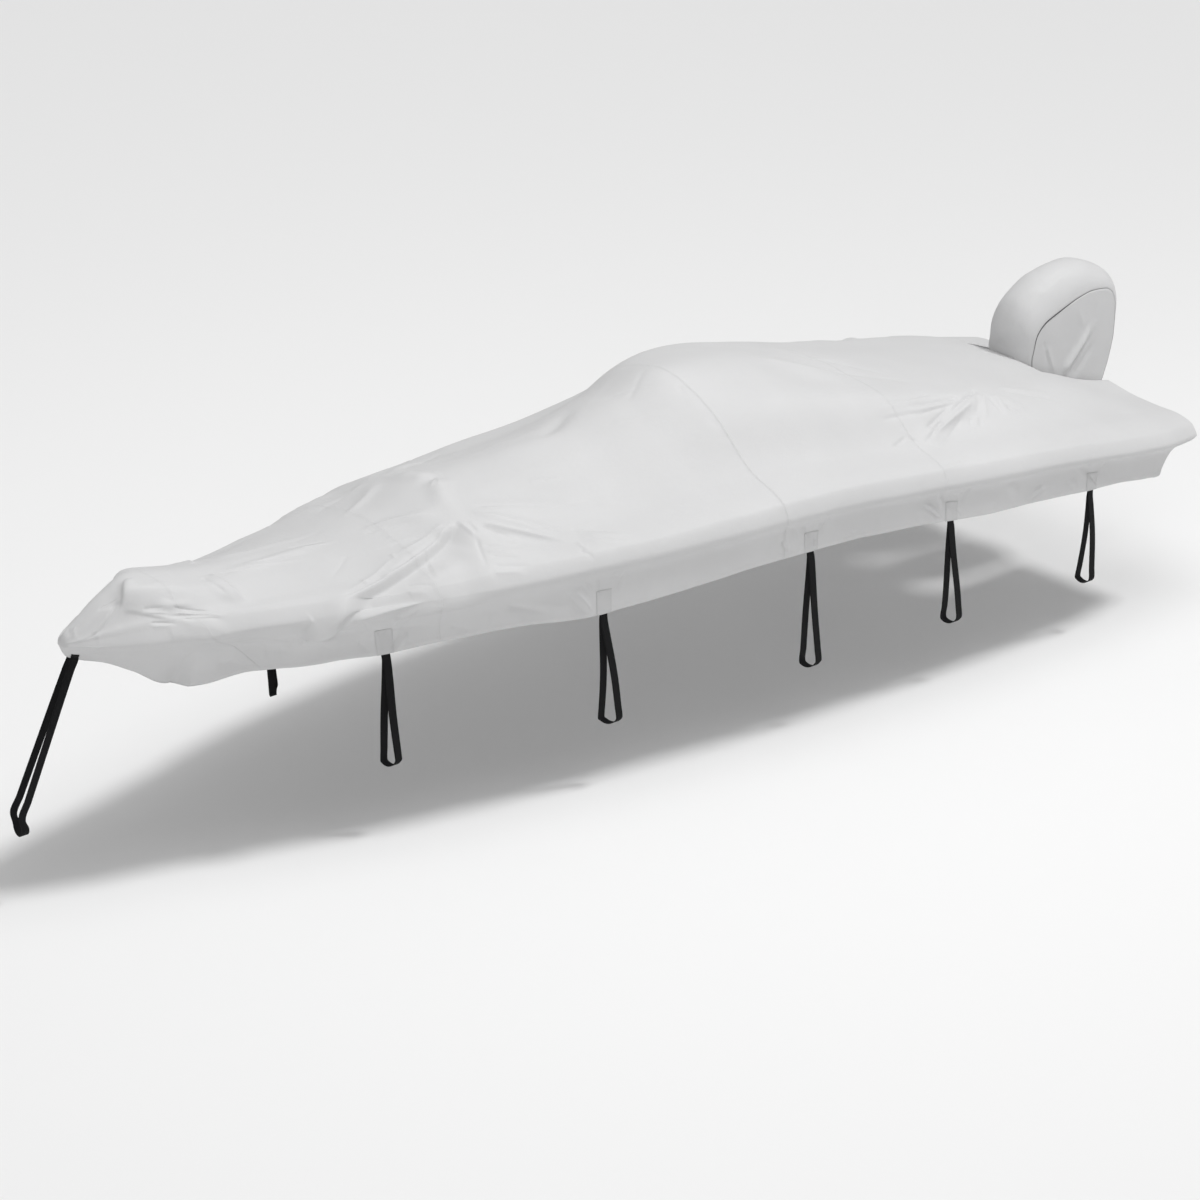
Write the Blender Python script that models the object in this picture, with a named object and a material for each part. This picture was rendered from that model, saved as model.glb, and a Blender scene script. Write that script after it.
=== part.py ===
"""Fitted cover for a small open boat, in its draped shape, with its separate hood and its tie-down straps.

The bow points along -X, port is -Y and +Z is up. The origin is under the highest point of the top.
The cover is one skin: a row of half sections gives its shape, a table of folds is added to it, and it is cut
into its sewn panels. The hood is a crowned band between two side panels. Everything is in metres.
"""

import bpy
import numpy as np

# Thicknesses and gaps.
CLOTH = 0.002
WEBBING = 0.0016
SEAM_GAP = 0.0003
LAYER_GAP = 0.0004
STRAND_GAP = 0.001
PATCH = 0.0012

# Half sections of the cover, from bow to stern. beam and rail_z are the edge of the deck under the cloth,
# shoulder and shoulder_z the edge of the raised middle, sag how far the cloth between them hangs below a line.
STATION_COLUMNS = ("x", "beam", "rail_z", "shoulder", "shoulder_z", "ridge_z", "hem", "hem_z", "sag")
STATIONS = np.array([
    (-3.334, 0.021, -0.470, 0.009, -0.454, -0.450, 0.000, -0.488, 0.000),
    (-3.316, 0.051, -0.463, 0.021, -0.428, -0.420, 0.000, -0.523, 0.000),
    (-3.269, 0.093, -0.458, 0.033, -0.395, -0.386, 0.000, -0.554, 0.000),
    (-3.120, 0.177, -0.456, 0.065, -0.311, -0.288, 0.000, -0.616, 0.000),
    (-2.989, 0.234, -0.456, 0.103, -0.260, -0.232, 0.000, -0.694, 0.000),
    (-2.802, 0.290, -0.456, 0.131, -0.297, -0.264, 0.000, -0.806, 0.000),
    (-2.765, 0.301, -0.456, 0.133, -0.306, -0.274, 0.112, -0.797, 0.000),
    (-2.522, 0.364, -0.456, 0.140, -0.344, -0.311, 0.271, -0.741, 0.000),
    (-2.055, 0.509, -0.456, 0.196, -0.358, -0.330, 0.467, -0.745, -0.009),
    (-1.681, 0.635, -0.456, 0.243, -0.316, -0.283, 0.598, -0.713, -0.028),
    (-1.401, 0.702, -0.456, 0.280, -0.264, -0.217, 0.661, -0.717, -0.019),
    (-1.027, 0.771, -0.456, 0.262, -0.269, -0.194, 0.738, -0.745, 0.000),
    (-0.654, 0.831, -0.454, 0.271, -0.250, -0.166, 0.803, -0.728, 0.019),
    (-0.280, 0.883, -0.451, 0.327, -0.194, -0.082, 0.850, -0.708, 0.037),
    (0.000, 0.925, -0.444, 0.402, -0.143, 0.002, 0.887, -0.689, 0.056),
    (0.280, 0.962, -0.442, 0.467, -0.105, -0.012, 0.920, -0.684, 0.065),
    (0.747, 0.990, -0.474, 0.514, -0.180, -0.119, 0.948, -0.708, 0.065),
    (1.214, 0.999, -0.521, 0.523, -0.283, -0.227, 0.962, -0.764, 0.047),
    (1.681, 0.999, -0.568, 0.523, -0.379, -0.330, 0.957, -0.801, 0.028),
    (2.148, 0.981, -0.638, 0.495, -0.474, -0.428, 0.934, -0.853, 0.023),
    (2.475, 0.943, -0.689, 0.448, -0.577, -0.558, 0.887, -0.909, 0.019),
    (2.727, 0.873, -0.725, 0.402, -0.647, -0.633, 0.803, -0.937, 0.019),
])

# Where a ring of the skin crosses the ridge, and where the same ring meets the hem.
LEAN = np.array([
    (-3.334, -3.334),
    (-3.101, -2.802),
    (-2.914, -2.494),
    (-2.102, -2.064),
    (-1.747, -1.747),
    (2.288, 2.288),
    (2.727, 2.540),
])
STEM_END = -2.802
NOSE_TIP = (-3.338, 0.0, -0.468)

# Around a section, 0 is the ridge and 1 the hem, negative to port. The knots place the section's named points.
KNOTS = np.array([0.0, 0.20, 0.33, 0.55, 0.75, 0.79, 0.89, 1.0])
AROUND = (0.08, 0.16, 0.23, 0.33, 0.42, 0.52, 0.61, 0.69, 0.75, 0.80, 0.86, 0.92, 0.96, 1.0)
CUT_OUT_SIDE = 0.23
PATCH_COLUMNS = (0.92, 0.96, 1.0)

# Rings at the ridge, panel by panel; each panel ends on the seam where the next one starts.
PANELS = (
    ("nose_panel", (-3.331, -3.322, -3.314, -3.297, -3.269, -3.232, -3.185, -3.143, -3.101, -3.054, -3.007,
                    -2.961, -2.914)),
    ("fore_panel", (-2.83, -2.75, -2.66, -2.57, -2.48, -2.39, -2.30, -2.21, -2.12, -1.88, -1.81, -1.747)),
    ("mid_panel", (-1.67, -1.60, -1.53, -1.46, -1.39, -1.32, -1.25, -1.18, -1.10, -1.03, -0.85, -0.75,
                   -0.65, -0.55, -0.45, -0.36, -0.27, -0.18, -0.09, 0.0)),
    ("aft_panel", (0.06, 0.25, 0.33, 0.41, 0.49, 0.57, 0.66, 0.75, 0.85, 0.93)),
    ("stern_panel", (1.08, 1.17, 1.26, 1.35, 1.44, 1.53, 1.61, 1.69, 1.77, 1.84, 2.02, 2.10, 2.2065, 2.29,
                     2.38, 2.47, 2.56, 2.64, 2.70, 2.727)),
)
CUT_OUT_FRONT = 2.2065
# The turned-down edge at the stern: how far aft of the last ring, and how far in from it.
TURN_DOWN = ((0.009, 0.004), (0.012, 0.034), (0.011, 0.065))

# Folds of the port side: both ends, half width and height (a trough is negative), and the share of the height
# that the same fold has to starboard.
FOLD_COLUMNS = ("x0", "v0", "x1", "v1", "half_width", "height", "starboard")
FOLDS = (
    (-1.375, -0.314, -0.733, -0.536, 0.045, 0.012, 0.6),
    (-1.392, -0.336, -0.984, -0.650, 0.040, 0.020, 0.7),
    (-0.984, -0.650, -0.741, -0.750, 0.040, 0.012, 0.0),
    (-1.401, -0.457, -0.984, -0.757, 0.045, -0.013, 0.6),
    (-1.461, -0.293, -1.808, -0.129, 0.040, 0.012, 0.8),
    (-1.505, -0.371, -1.926, -0.650, 0.050, -0.034, 0.7),
    (-1.926, -0.650, -2.365, -0.879, 0.045, -0.022, 0.5),
    (-1.331, 0.007, -1.444, -0.307, 0.055, 0.022, 1.0),
    (-1.531, -0.600, -1.946, -0.800, 0.060, 0.018, 0.6),
    (-2.364, -0.871, -1.806, -0.779, 0.035, 0.014, 0.5),
    (-2.364, -0.871, -2.028, -0.907, 0.030, 0.010, 0.0),
    (-2.364, -0.871, -2.770, -0.829, 0.040, -0.010, 0.6),
    (-2.364, -0.871, -2.068, -0.736, 0.035, 0.012, 0.0),
    (-2.964, -0.493, -2.738, -0.493, 0.028, 0.008, 0.0),
    (-2.941, -0.629, -2.659, -0.707, 0.028, -0.008, 0.7),
    (-2.903, -0.757, -2.635, -0.771, 0.028, 0.009, 0.0),
    (-2.985, -0.100, -3.083, -0.443, 0.030, 0.012, 0.8),
    (-3.089, -0.364, -3.259, -0.686, 0.022, 0.007, 0.8),
    (-2.651, -0.179, -2.532, -0.650, 0.045, 0.016, 0.7),
    (-2.573, -0.207, -1.920, -0.086, 0.040, 0.012, 0.5),
    (1.539, -0.329, 1.123, -0.471, 0.045, 0.016, 0.7),
    (1.123, -0.471, 0.984, -0.540, 0.045, 0.012, 0.0),
    (1.460, -0.400, 1.028, -0.560, 0.040, -0.012, 0.6),
    (1.609, -0.307, 0.924, -0.379, 0.060, 0.009, 0.5),
    (1.609, -0.307, 1.782, -0.486, 0.045, 0.010, 0.8),
    (0.525, 0.057, 0.915, -0.257, 0.070, 0.009, 0.0),
    (-0.724, 0.007, -0.334, 0.293, 0.060, -0.014, 0.0),
    (-1.123, -0.871, -0.993, -0.980, 0.030, 0.010, 0.8),
    (0.811, -0.900, 0.906, -0.979, 0.030, 0.008, 0.7),
    (1.357, -0.880, 1.435, -0.964, 0.030, 0.008, 0.0),
    (0.002, -0.870, 0.090, -0.970, 0.030, 0.008, 0.6),
)

# Tie-down straps: where each leaves the hem, where its outer strand ends, and where its inner strand ends.
STRAP_COLUMNS = ("hem_x", "outer_x", "outer_y", "bottom_z", "inner_x")
STRAPS = (
    (-1.971, -1.943, 0.514, -1.268, -1.989),
    (-0.943, -0.859, 0.747, -1.296, -0.925),
    (0.159, 0.262, 0.841, -1.306, 0.205),
    (0.995, 1.121, 0.887, -1.306, 1.065),
    (1.929, 2.017, 0.887, -1.343, 1.971),
)
STRAP_HALF = 0.019
PATCH_HALF = 0.0375
LOOP_RADIUS = 0.026
ALONG_BOAT = np.array((1.0, 0, 0))
BOW_STRAP = (-3.271, -3.610, -1.215, -1.270, 0.038)

# The hood's seam seen from the side, from the foot of its front over the top to the foot of its back.
# crown is how far its middle stands out from the seam.
HOOD_COLUMNS = ("x", "z", "crown")
HOOD_SEAM = np.array([
    (2.265, -0.699, 0.047),
    (2.258, -0.460, 0.051),
    (2.270, -0.400, 0.065),
    (2.288, -0.334, 0.093),
    (2.340, -0.274, 0.131),
    (2.461, -0.222, 0.163),
    (2.587, -0.180, 0.145),
    (2.671, -0.166, 0.131),
    (2.765, -0.175, 0.103),
    (2.816, -0.213, 0.084),
    (2.835, -0.288, 0.065),
    (2.830, -0.418, 0.047),
    (2.802, -0.549, 0.037),
    (2.746, -0.699, 0.028),
])
HOOD_HALF = 0.159
HOOD_BULGE = 0.020
HOOD_FOOT = (2.50, -0.699)
HOOD_ACROSS = (0.0, 0.25, 0.50, 0.70, 0.85, 0.94, 0.985, 1.0)
HOOD_RINGS = (0.0, 0.25, 0.50, 0.72, 0.89, 1.0)
HOOD_FOLD_COLUMNS = ("x0", "z0", "x1", "z1", "half_width", "height")
HOOD_FOLDS = (
    (2.455, -0.560, 2.680, -0.330, 0.022, 0.010),
    (2.520, -0.600, 2.700, -0.430, 0.020, -0.007),
)


def smooth_through(knots, values, x):
    """A curve through the values that rises and falls only where they do."""
    step = np.diff(knots)
    rise = np.diff(values) / step
    slope = np.zeros_like(values)
    product = rise[:-1] * rise[1:]
    slope[1:-1] = np.where(product > 0, 2 * product / (rise[:-1] + rise[1:] + 1e-12), 0)
    slope[0], slope[-1] = rise[0], rise[-1]
    i = np.clip(np.searchsorted(knots, x) - 1, 0, len(knots) - 2)
    t = (x - knots[i]) / step[i]
    start = (1 + 2 * t) * (1 - t) ** 2 * values[i] + t * (1 - t) ** 2 * step[i] * slope[i]
    end = t * t * (3 - 2 * t) * values[i + 1] + t * t * (t - 1) * step[i] * slope[i + 1]
    return start + end


def section(x, v):
    """The point of the unfolded skin at x along the boat and v around the section."""
    at = {}
    for column, name in enumerate(STATION_COLUMNS[1:], 1):
        at[name] = smooth_through(STATIONS[:, 0], STATIONS[:, column], x)
    small = np.minimum(1, at["beam"] / 0.28)
    in_y = at["shoulder"] - at["beam"]
    in_z = at["shoulder_z"] - at["rail_z"]
    round_off = 0.047 * small / (np.hypot(in_y, in_z) + 1e-9)
    tuck = 0.22 + 0.33 * (1 - np.minimum(1, at["hem"] / 0.28))
    points = (
        (0 * x, at["ridge_z"]),
        (0.6 * at["shoulder"], at["shoulder_z"] + 0.62 * (at["ridge_z"] - at["shoulder_z"])),
        (at["shoulder"] + 0.019 * small, at["shoulder_z"] - 0.002 * small),
        (at["beam"] + 0.5 * in_y, at["rail_z"] + 0.5 * in_z - at["sag"]),
        (at["beam"] + in_y * round_off, at["rail_z"] + in_z * round_off + 0.004 * small),
        (at["beam"] - 0.002 * small, at["rail_z"] - 0.042 * small),
        (at["hem"] + tuck * (at["beam"] - at["hem"]), at["rail_z"] + 0.45 * (at["hem_z"] - at["rail_z"])),
        (at["hem"], at["hem_z"]),
    )
    y = np.stack([p[0] for p in points])
    z = np.stack([p[1] for p in points])
    y = np.concatenate([-y[1:2], y, 2 * y[-1:] - y[-2:-1]])
    z = np.concatenate([z[1:2], z, 2 * z[-1:] - z[-2:-1]])
    knots = np.concatenate([[-KNOTS[1]], KNOTS, [2 * KNOTS[-1] - KNOTS[-2]]])
    a = np.abs(v)
    i = np.clip(np.searchsorted(knots, a, side="right") - 1, 1, len(knots) - 3)
    t = (a - knots[i]) / (knots[i + 1] - knots[i])

    def between(values):
        p = [np.take_along_axis(values, (i + k)[None], 0)[0] for k in (-1, 0, 1, 2)]
        span = knots[i + 1] - knots[i]
        first = (p[2] - p[0]) / (knots[i + 1] - knots[i - 1]) * span
        second = (p[3] - p[1]) / (knots[i + 2] - knots[i]) * span
        start = (1 + 2 * t) * (1 - t) ** 2 * p[1] + t * (1 - t) ** 2 * first
        return start + t * t * (3 - 2 * t) * p[2] + t * t * (t - 1) * second

    return np.sign(v) * between(y), between(z)


def ring_x(x_ridge, v):
    """Where a ring that crosses the ridge at x_ridge is at v."""
    a = np.abs(v)
    x_hem = np.interp(x_ridge, LEAN[:, 0], LEAN[:, 1])
    at_bow = 0.28 * a + 0.72 * np.clip((a - 0.7) / 0.3, 0, 1) ** 1.2
    at_stern = np.clip((a - 0.79) / 0.21, 0, 1) ** 0.6
    return x_ridge + (x_hem - x_ridge) * np.where(x_ridge < 0, at_bow, at_stern)


def ramp(t):
    t = np.clip(t, 0, 1)
    return t * t * (3 - 2 * t)


def fold_lift(p0, p1, q0, q1, half_width, height):
    """The lift at p of a fold from q0 to q1, which swells over its first tenth and fades over its last half."""
    along = (q1[0] - q0[0], q1[1] - q0[1])
    length = along[0] ** 2 + along[1] ** 2
    t = np.clip(((p0 - q0[0]) * along[0] + (p1 - q0[1]) * along[1]) / length, 0, 1)
    away = np.hypot(p0 - q0[0] - t * along[0], p1 - q0[1] - t * along[1])
    return height * np.exp(-((away / half_width) ** 2)) * ramp(t / 0.12) * ramp((1 - t) / 0.5)


def folds_at(x, v):
    girth = 0.40 + 0.80 * smooth_through(STATIONS[:, 0], STATIONS[:, 1], np.clip(x, -3.334, 2.727))
    lift = np.zeros_like(x)
    for x0, v0, x1, v1, half_width, height, starboard in FOLDS:
        for side, share in ((1, 1.0), (-1, starboard)):
            q0 = (x0, side * v0 * girth)
            q1 = (x1, side * v1 * girth)
            lift += share * fold_lift(x, v * girth, q0, q1, half_width, height)
    return lift


def triangles(rows, columns, keep=None):
    """The triangles of a grid, with the cells where keep is false left out."""
    i, j = np.meshgrid(np.arange(rows - 1), np.arange(columns - 1), indexing="ij")
    if keep is not None:
        i, j = i[keep], j[keep]
    a = (i * columns + j).ravel()
    b, c, d = a + columns, a + columns + 1, a + 1
    return np.concatenate([np.stack([a, b, c], 1), np.stack([a, c, d], 1)])


def welded(points, faces):
    """The faces with points in the same place made one, and without the faces that this closes up."""
    _, first, index = np.unique(np.round(points, 6), axis=0, return_index=True, return_inverse=True)
    faces = first[index.reshape(-1)[faces]]
    whole = (faces[:, 0] != faces[:, 1]) & (faces[:, 1] != faces[:, 2]) & (faces[:, 0] != faces[:, 2])
    return faces[whole], first[index.reshape(-1)]


def normals_of(grid, keep=None):
    """Unit normals of a grid of points, the same where points coincide."""
    points = grid.reshape(-1, 3)
    faces, same = welded(points, triangles(*grid.shape[:2], keep))
    cross = np.cross(points[faces[:, 1]] - points[faces[:, 0]], points[faces[:, 2]] - points[faces[:, 0]])
    total = np.zeros_like(points)
    for corner in range(3):
        np.add.at(total, faces[:, corner], cross)
    total = total[same]
    total /= np.linalg.norm(total, axis=1, keepdims=True) + 1e-12
    return total.reshape(grid.shape)


def add_mesh(name, points, faces, material):
    """One closed body from points and triangles, facing out."""
    corners = points[faces]
    if np.linalg.det(corners - points.mean(axis=0)).sum() < 0:
        faces = faces[:, ::-1]
    used, index = np.unique(faces, return_inverse=True)
    mesh = bpy.data.meshes.new(name)
    mesh.from_pydata(points[used].tolist(), [], index.reshape(faces.shape).tolist())
    mesh.materials.append(material)
    mesh.update()
    body = bpy.data.objects.new(name, mesh)
    collection.objects.link(body)
    return body


def add_shell(name, grid, normals, thickness, material, keep=None):
    """A closed sheet: the grid is its outer side, and the inner side lies thickness below along the normals."""
    outer = grid.reshape(-1, 3)
    inner = outer - thickness * normals.reshape(-1, 3)
    faces, _ = welded(outer, triangles(*grid.shape[:2], keep))
    edges = np.concatenate([faces[:, [0, 1]], faces[:, [1, 2]], faces[:, [2, 0]]])
    count = len(outer)
    one_way = edges[:, 0] * count + edges[:, 1]
    other_way = edges[:, 1] * count + edges[:, 0]
    rim = edges[~np.isin(other_way, one_way)]
    a, b = rim[:, 0], rim[:, 1]
    first = np.where(a < b, a, b) + count
    second = np.where(a < b, b, a)
    sides = np.concatenate([np.stack([b, a, first], 1), np.stack([second, a + count, b + count], 1)])
    return add_mesh(name, np.concatenate([outer, inner]),
                    np.concatenate([faces, faces[:, ::-1] + count, sides]), material)


def add_ribbon(name, left, right, normals, thickness, material):
    """A flat band whose two edges run through left and right, with closed ends."""
    half = 0.5 * thickness * normals
    ring = np.stack([left + half, right + half, right - half, left - half], 1)
    points = ring.reshape(-1, 3)
    rows = len(left)
    faces = []
    for row in range(rows - 1):
        for side in range(4):
            a, b = 4 * row + side, 4 * row + (side + 1) % 4
            # The front is cut along the same diagonals as the back, so a twisted band keeps its thickness.
            if side == 0:
                faces += [(a, b, a + 4), (b, b + 4, a + 4)]
            else:
                faces += [(a, b, b + 4), (a, b + 4, a + 4)]
    last = 4 * (rows - 1)
    faces += [(0, 2, 1), (0, 3, 2), (last, last + 1, last + 2), (last, last + 2, last + 3)]
    return add_mesh(name, points, np.array(faces), material)


def make_material(name, colour, roughness):
    material = bpy.data.materials.new(name)
    material.use_nodes = True
    shader = material.node_tree.nodes["Principled BSDF"]
    shader.inputs["Base Color"].default_value = (*colour, 1)
    shader.inputs["Roughness"].default_value = roughness
    return material


def ring_for_hem(x_hem):
    return float(np.interp(x_hem, LEAN[:, 1], LEAN[:, 0]))


def strap_rings(hem_x):
    return [ring_for_hem(hem_x + across) for across in (-PATCH_HALF, -STRAP_HALF, STRAP_HALF, PATCH_HALF)]


def build_skin():
    """The whole skin as one grid of points with its ring and column positions."""
    around = np.array([-v for v in AROUND[::-1]] + [0.0] + list(AROUND))
    rings = set()
    for _, row in PANELS:
        rings |= set(row)
    for strap in STRAPS:
        rings |= set(strap_rings(strap[0]))
    rings = np.array(sorted(rings))
    ridge, v = np.meshgrid(rings, around, indexing="ij")
    x = ring_x(ridge, v)
    y, z = section(x, v)
    y[(np.abs(v) == 1) & (x <= STEM_END + 1e-4)] = 0
    skin = np.stack([x, y, z], -1)
    skin = np.concatenate([np.full((1, len(around), 3), NOSE_TIP), skin])
    lift = folds_at(skin[..., 0], np.concatenate([v[:1], v]))
    lift[0] = 0
    skin = skin + normals_of(skin) * lift[..., None]
    edge = skin[-1]
    low, high = edge[:, 2].min(), edge[:, 2].max()
    for aft, inward in TURN_DOWN:
        turned = edge.copy()
        turned[:, 0] += aft
        turned[:, 1] *= 1 - inward / edge[:, 1].max()
        turned[:, 2] = low + (turned[:, 2] - low) * (1 - inward / (high - low))
        skin = np.concatenate([skin, turned[None]])
    rings = np.concatenate([[-3.338], rings, [rings[-1] + aft for aft, _ in TURN_DOWN]])
    return skin, rings, around


def column(around, v):
    return int(np.argmin(np.abs(around - v)))


def add_cover():
    skin, rings, around = build_skin()
    normals = normals_of(skin)
    start = 0
    for place, (name, row) in enumerate(PANELS):
        last_panel = place == len(PANELS) - 1
        end = len(rings) - 1 if last_panel else int(np.argmin(np.abs(rings - row[-1])))
        piece = skin[start:end + 1].copy()
        side = normals[start:end + 1]
        for ring, wanted, way in ((start, place > 0, 1), (end, not last_panel, -1)):
            if not wanted:
                continue
            across = np.cross(normals[ring], np.gradient(skin[ring], axis=0))
            across /= np.linalg.norm(across, axis=1, keepdims=True)
            across *= np.sign((across * (skin[ring + 1] - skin[ring])).sum(axis=1, keepdims=True))
            piece[ring - start] += way * 0.5 * SEAM_GAP * across
        keep = np.ones((len(piece) - 1, len(around) - 1), bool)
        aft = rings[start:end] >= CUT_OUT_FRONT - 1e-6
        middle = np.abs(around[:-1] + around[1:]) / 2 < CUT_OUT_SIDE
        keep[np.ix_(aft, middle)] = False
        add_shell(name, piece, side, CLOTH, cloth, keep)
        start = end
    return skin, normals, rings, around


def add_tie_downs(skin, normals, rings, around):
    """Five straps a side: each starts inside the hem, hangs down, turns under and comes back up inside the hem."""
    for number, (hem_x, outer_x, outer_y, bottom_z, inner_x) in enumerate(STRAPS, 1):
        rows = [int(np.argmin(np.abs(rings - ring))) for ring in strap_rings(hem_x)]
        for side, word in ((-1, "port"), (1, "starboard")):
            columns = [column(around, side * v) for v in PATCH_COLUMNS]
            ground = skin[np.ix_(rows, columns)]
            out = normals[np.ix_(rows, columns)]
            add_shell(f"patch_{word}_{number}", ground + (LAYER_GAP + PATCH) * out, out, PATCH, cloth)
            fore, aft = ground[1], ground[2]
            out = 0.5 * (out[1] + out[2])
            out /= np.linalg.norm(out, axis=1, keepdims=True)
            depth_outer = CLOTH + LAYER_GAP + 0.5 * WEBBING
            depth_inner = depth_outer + STRAND_GAP + WEBBING
            down = np.array([(outer_x, side * outer_y, bottom_z), (inner_x, side * (outer_y - 0.052), bottom_z)])
            hem = 0.5 * (fore[-1] + aft[-1])
            along_hem = (aft[-1] - fore[-1]) / np.linalg.norm(aft[-1] - fore[-1])
            centres, ways, faces_out = [], [], []
            for place, depth in ((0, depth_outer), (1, depth_inner)):
                top = hem - depth * out[-1]
                run = down[place] - top
                steps = np.array((0.06, 0.5, 1.0))[:, None]
                way = (1 - steps) * along_hem + steps * ALONG_BOAT
                way /= np.linalg.norm(way, axis=1, keepdims=True)
                face = np.cross(way, run)
                face *= side * np.sign(face[:, 1:2]) / np.linalg.norm(face, axis=1, keepdims=True)
                centres.append(top + steps * run)
                ways.append(way)
                faces_out.append(face)
            turn = np.radians((36, 72, 108, 144))
            bend = []
            bend_out = []
            for angle in turn:
                share = angle / np.pi
                centre = down[0] + share * (down[1] - down[0])
                centre[1] = side * (outer_y - LOOP_RADIUS + LOOP_RADIUS * np.cos(angle))
                centre[2] = bottom_z - LOOP_RADIUS * np.sin(angle)
                bend.append(centre)
                bend_out.append(np.array((0, side * np.cos(angle), -np.sin(angle))))
            middle = np.concatenate([centres[0], bend, centres[1][::-1]])
            middle_out = np.concatenate([faces_out[0], bend_out, -faces_out[1][::-1]])
            half = STRAP_HALF * np.concatenate([ways[0], [ALONG_BOAT] * len(bend), ways[1][::-1]])
            left = np.concatenate([fore - depth_outer * out, middle - half, (fore - depth_inner * out)[::-1]])
            right = np.concatenate([aft - depth_outer * out, middle + half, (aft - depth_inner * out)[::-1]])
            faces = np.concatenate([out, middle_out, -out[::-1]])
            add_ribbon(f"strap_{word}_{number}", left, right, faces, WEBBING, webbing)


def add_bow_strap(skin, normals, rings, around):
    """A strap whose two strands start on either side of the stem and meet under a loop below the bow."""
    hem_x, foot_x, foot_z, loop_z, spread = BOW_STRAP
    rows = [int(np.argmin(np.abs(rings - ring_for_hem(hem_x + across)))) for across in (-STRAP_HALF, STRAP_HALF)]
    left, right, out = [], [], []
    for side in (-1, 1):
        columns = [column(around, side * v) for v in (0.92, 0.96)]
        ground = skin[np.ix_(rows, columns)]
        face = normals[np.ix_(rows, columns)].sum(axis=0)
        face /= np.linalg.norm(face, axis=1, keepdims=True)
        lift = LAYER_GAP + 0.5 * WEBBING
        fore, aft = ground[0] + lift * face, ground[1] + lift * face
        top = 0.5 * (fore[-1] + aft[-1])
        foot = np.array((foot_x, side * spread, foot_z))
        run = (foot - top) / np.linalg.norm(foot - top)
        facing = np.array((0.0, side, 0.0))
        facing -= run * (facing @ run)
        facing /= np.linalg.norm(facing)
        wide = side * np.cross(facing, run)
        wide *= np.sign(wide[0]) * STRAP_HALF
        strand = np.array([top + t * (foot - top) for t in (0.10, 0.55, 1.0)])
        strand_out = np.array([facing] * 3)
        lefts = np.concatenate([fore, strand - wide])
        rights = np.concatenate([aft, strand + wide])
        outs = np.concatenate([face, strand_out])
        if side > 0:
            lefts, rights, outs = lefts[::-1], rights[::-1], outs[::-1]
        left.append(lefts)
        right.append(rights)
        out.append(outs)
    bend_l, bend_r, bend_o = [], [], []
    for angle in np.radians((0, 30, 60, 90, 120, 150, 180)):
        centre = np.array((foot_x + 0.012, -spread * np.cos(angle), loop_z - spread * np.sin(angle)))
        bend_l.append(centre - (STRAP_HALF, 0, 0))
        bend_r.append(centre + (STRAP_HALF, 0, 0))
        bend_o.append((0, -np.cos(angle), -np.sin(angle)))
    left = np.concatenate([left[0], bend_l, left[1]])
    right = np.concatenate([right[0], bend_r, right[1]])
    add_ribbon("strap_bow", left, right, np.concatenate([out[0], bend_o, out[1]]), WEBBING, webbing)


def hood_path():
    """The hood's seam with points between the measured ones, and the direction out from it."""
    count = len(HOOD_SEAM)
    where = np.linspace(0, count - 1, 2 * count - 1)
    knots = np.arange(count, dtype=float)
    path = np.stack([smooth_through(knots, HOOD_SEAM[:, k], where) for k in range(3)], 1)
    along = np.gradient(path[:, :2], axis=0)
    out = np.stack([-along[:, 1], along[:, 0]], 1)
    out /= np.linalg.norm(out, axis=1, keepdims=True)
    return path, out


def add_hood():
    path, out = hood_path()
    across = np.array([-s for s in HOOD_ACROSS[:0:-1]] + list(HOOD_ACROSS))
    rise = path[:, 2:] * (1 - np.abs(across[None]) ** 2.2) ** 0.6
    band = np.stack([
        path[:, :1] + rise * out[:, :1],
        np.broadcast_to(HOOD_HALF * across, rise.shape),
        path[:, 1:2] + rise * out[:, 1:],
    ], -1)
    normals = normals_of(band)
    if normals[len(band) // 2, len(across) // 2, 2] < 0:
        normals = -normals
    normals[:, 0] = (0, -1, 0)
    normals[:, -1] = (0, 1, 0)
    add_shell("hood_band", band, normals, CLOTH, cloth)
    rings = np.array(HOOD_RINGS)[:, None]
    edge = path[:, :2] - SEAM_GAP * out
    edge[0, 1] = edge[-1, 1] = HOOD_FOOT[1]
    for side, word in ((-1, "port"), (1, "starboard")):
        x = HOOD_FOOT[0] + rings * (edge[None, :, 0] - HOOD_FOOT[0])
        z = HOOD_FOOT[1] + rings * (edge[None, :, 1] - HOOD_FOOT[1])
        bulge = HOOD_BULGE * (1 - rings ** 2) + 0 * x
        for x0, z0, x1, z1, half_width, height in HOOD_FOLDS:
            bulge = bulge + (1 - rings ** 4) * fold_lift(x, z, (x0, z0), (x1, z1), half_width, height)
        panel = np.stack([x, side * (HOOD_HALF + bulge), z], -1)
        normals = normals_of(panel)
        normals *= np.sign(side * normals[2, len(path) // 2, 1])
        normals[-1] = (0, side, 0)
        add_shell(f"hood_side_{word}", panel, normals, CLOTH, cloth)


for old in list(bpy.data.objects):
    bpy.data.objects.remove(old)
collection = bpy.data.collections.new("boat_cover")
bpy.context.scene.collection.children.link(collection)
cloth = make_material("cover_cloth", (0.66, 0.66, 0.66), 0.85)
webbing = make_material("strap_webbing", (0.01, 0.01, 0.011), 0.7)
cover = add_cover()
add_tie_downs(*cover)
add_bow_strap(*cover)
add_hood()
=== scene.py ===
# %% [markdown]
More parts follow.
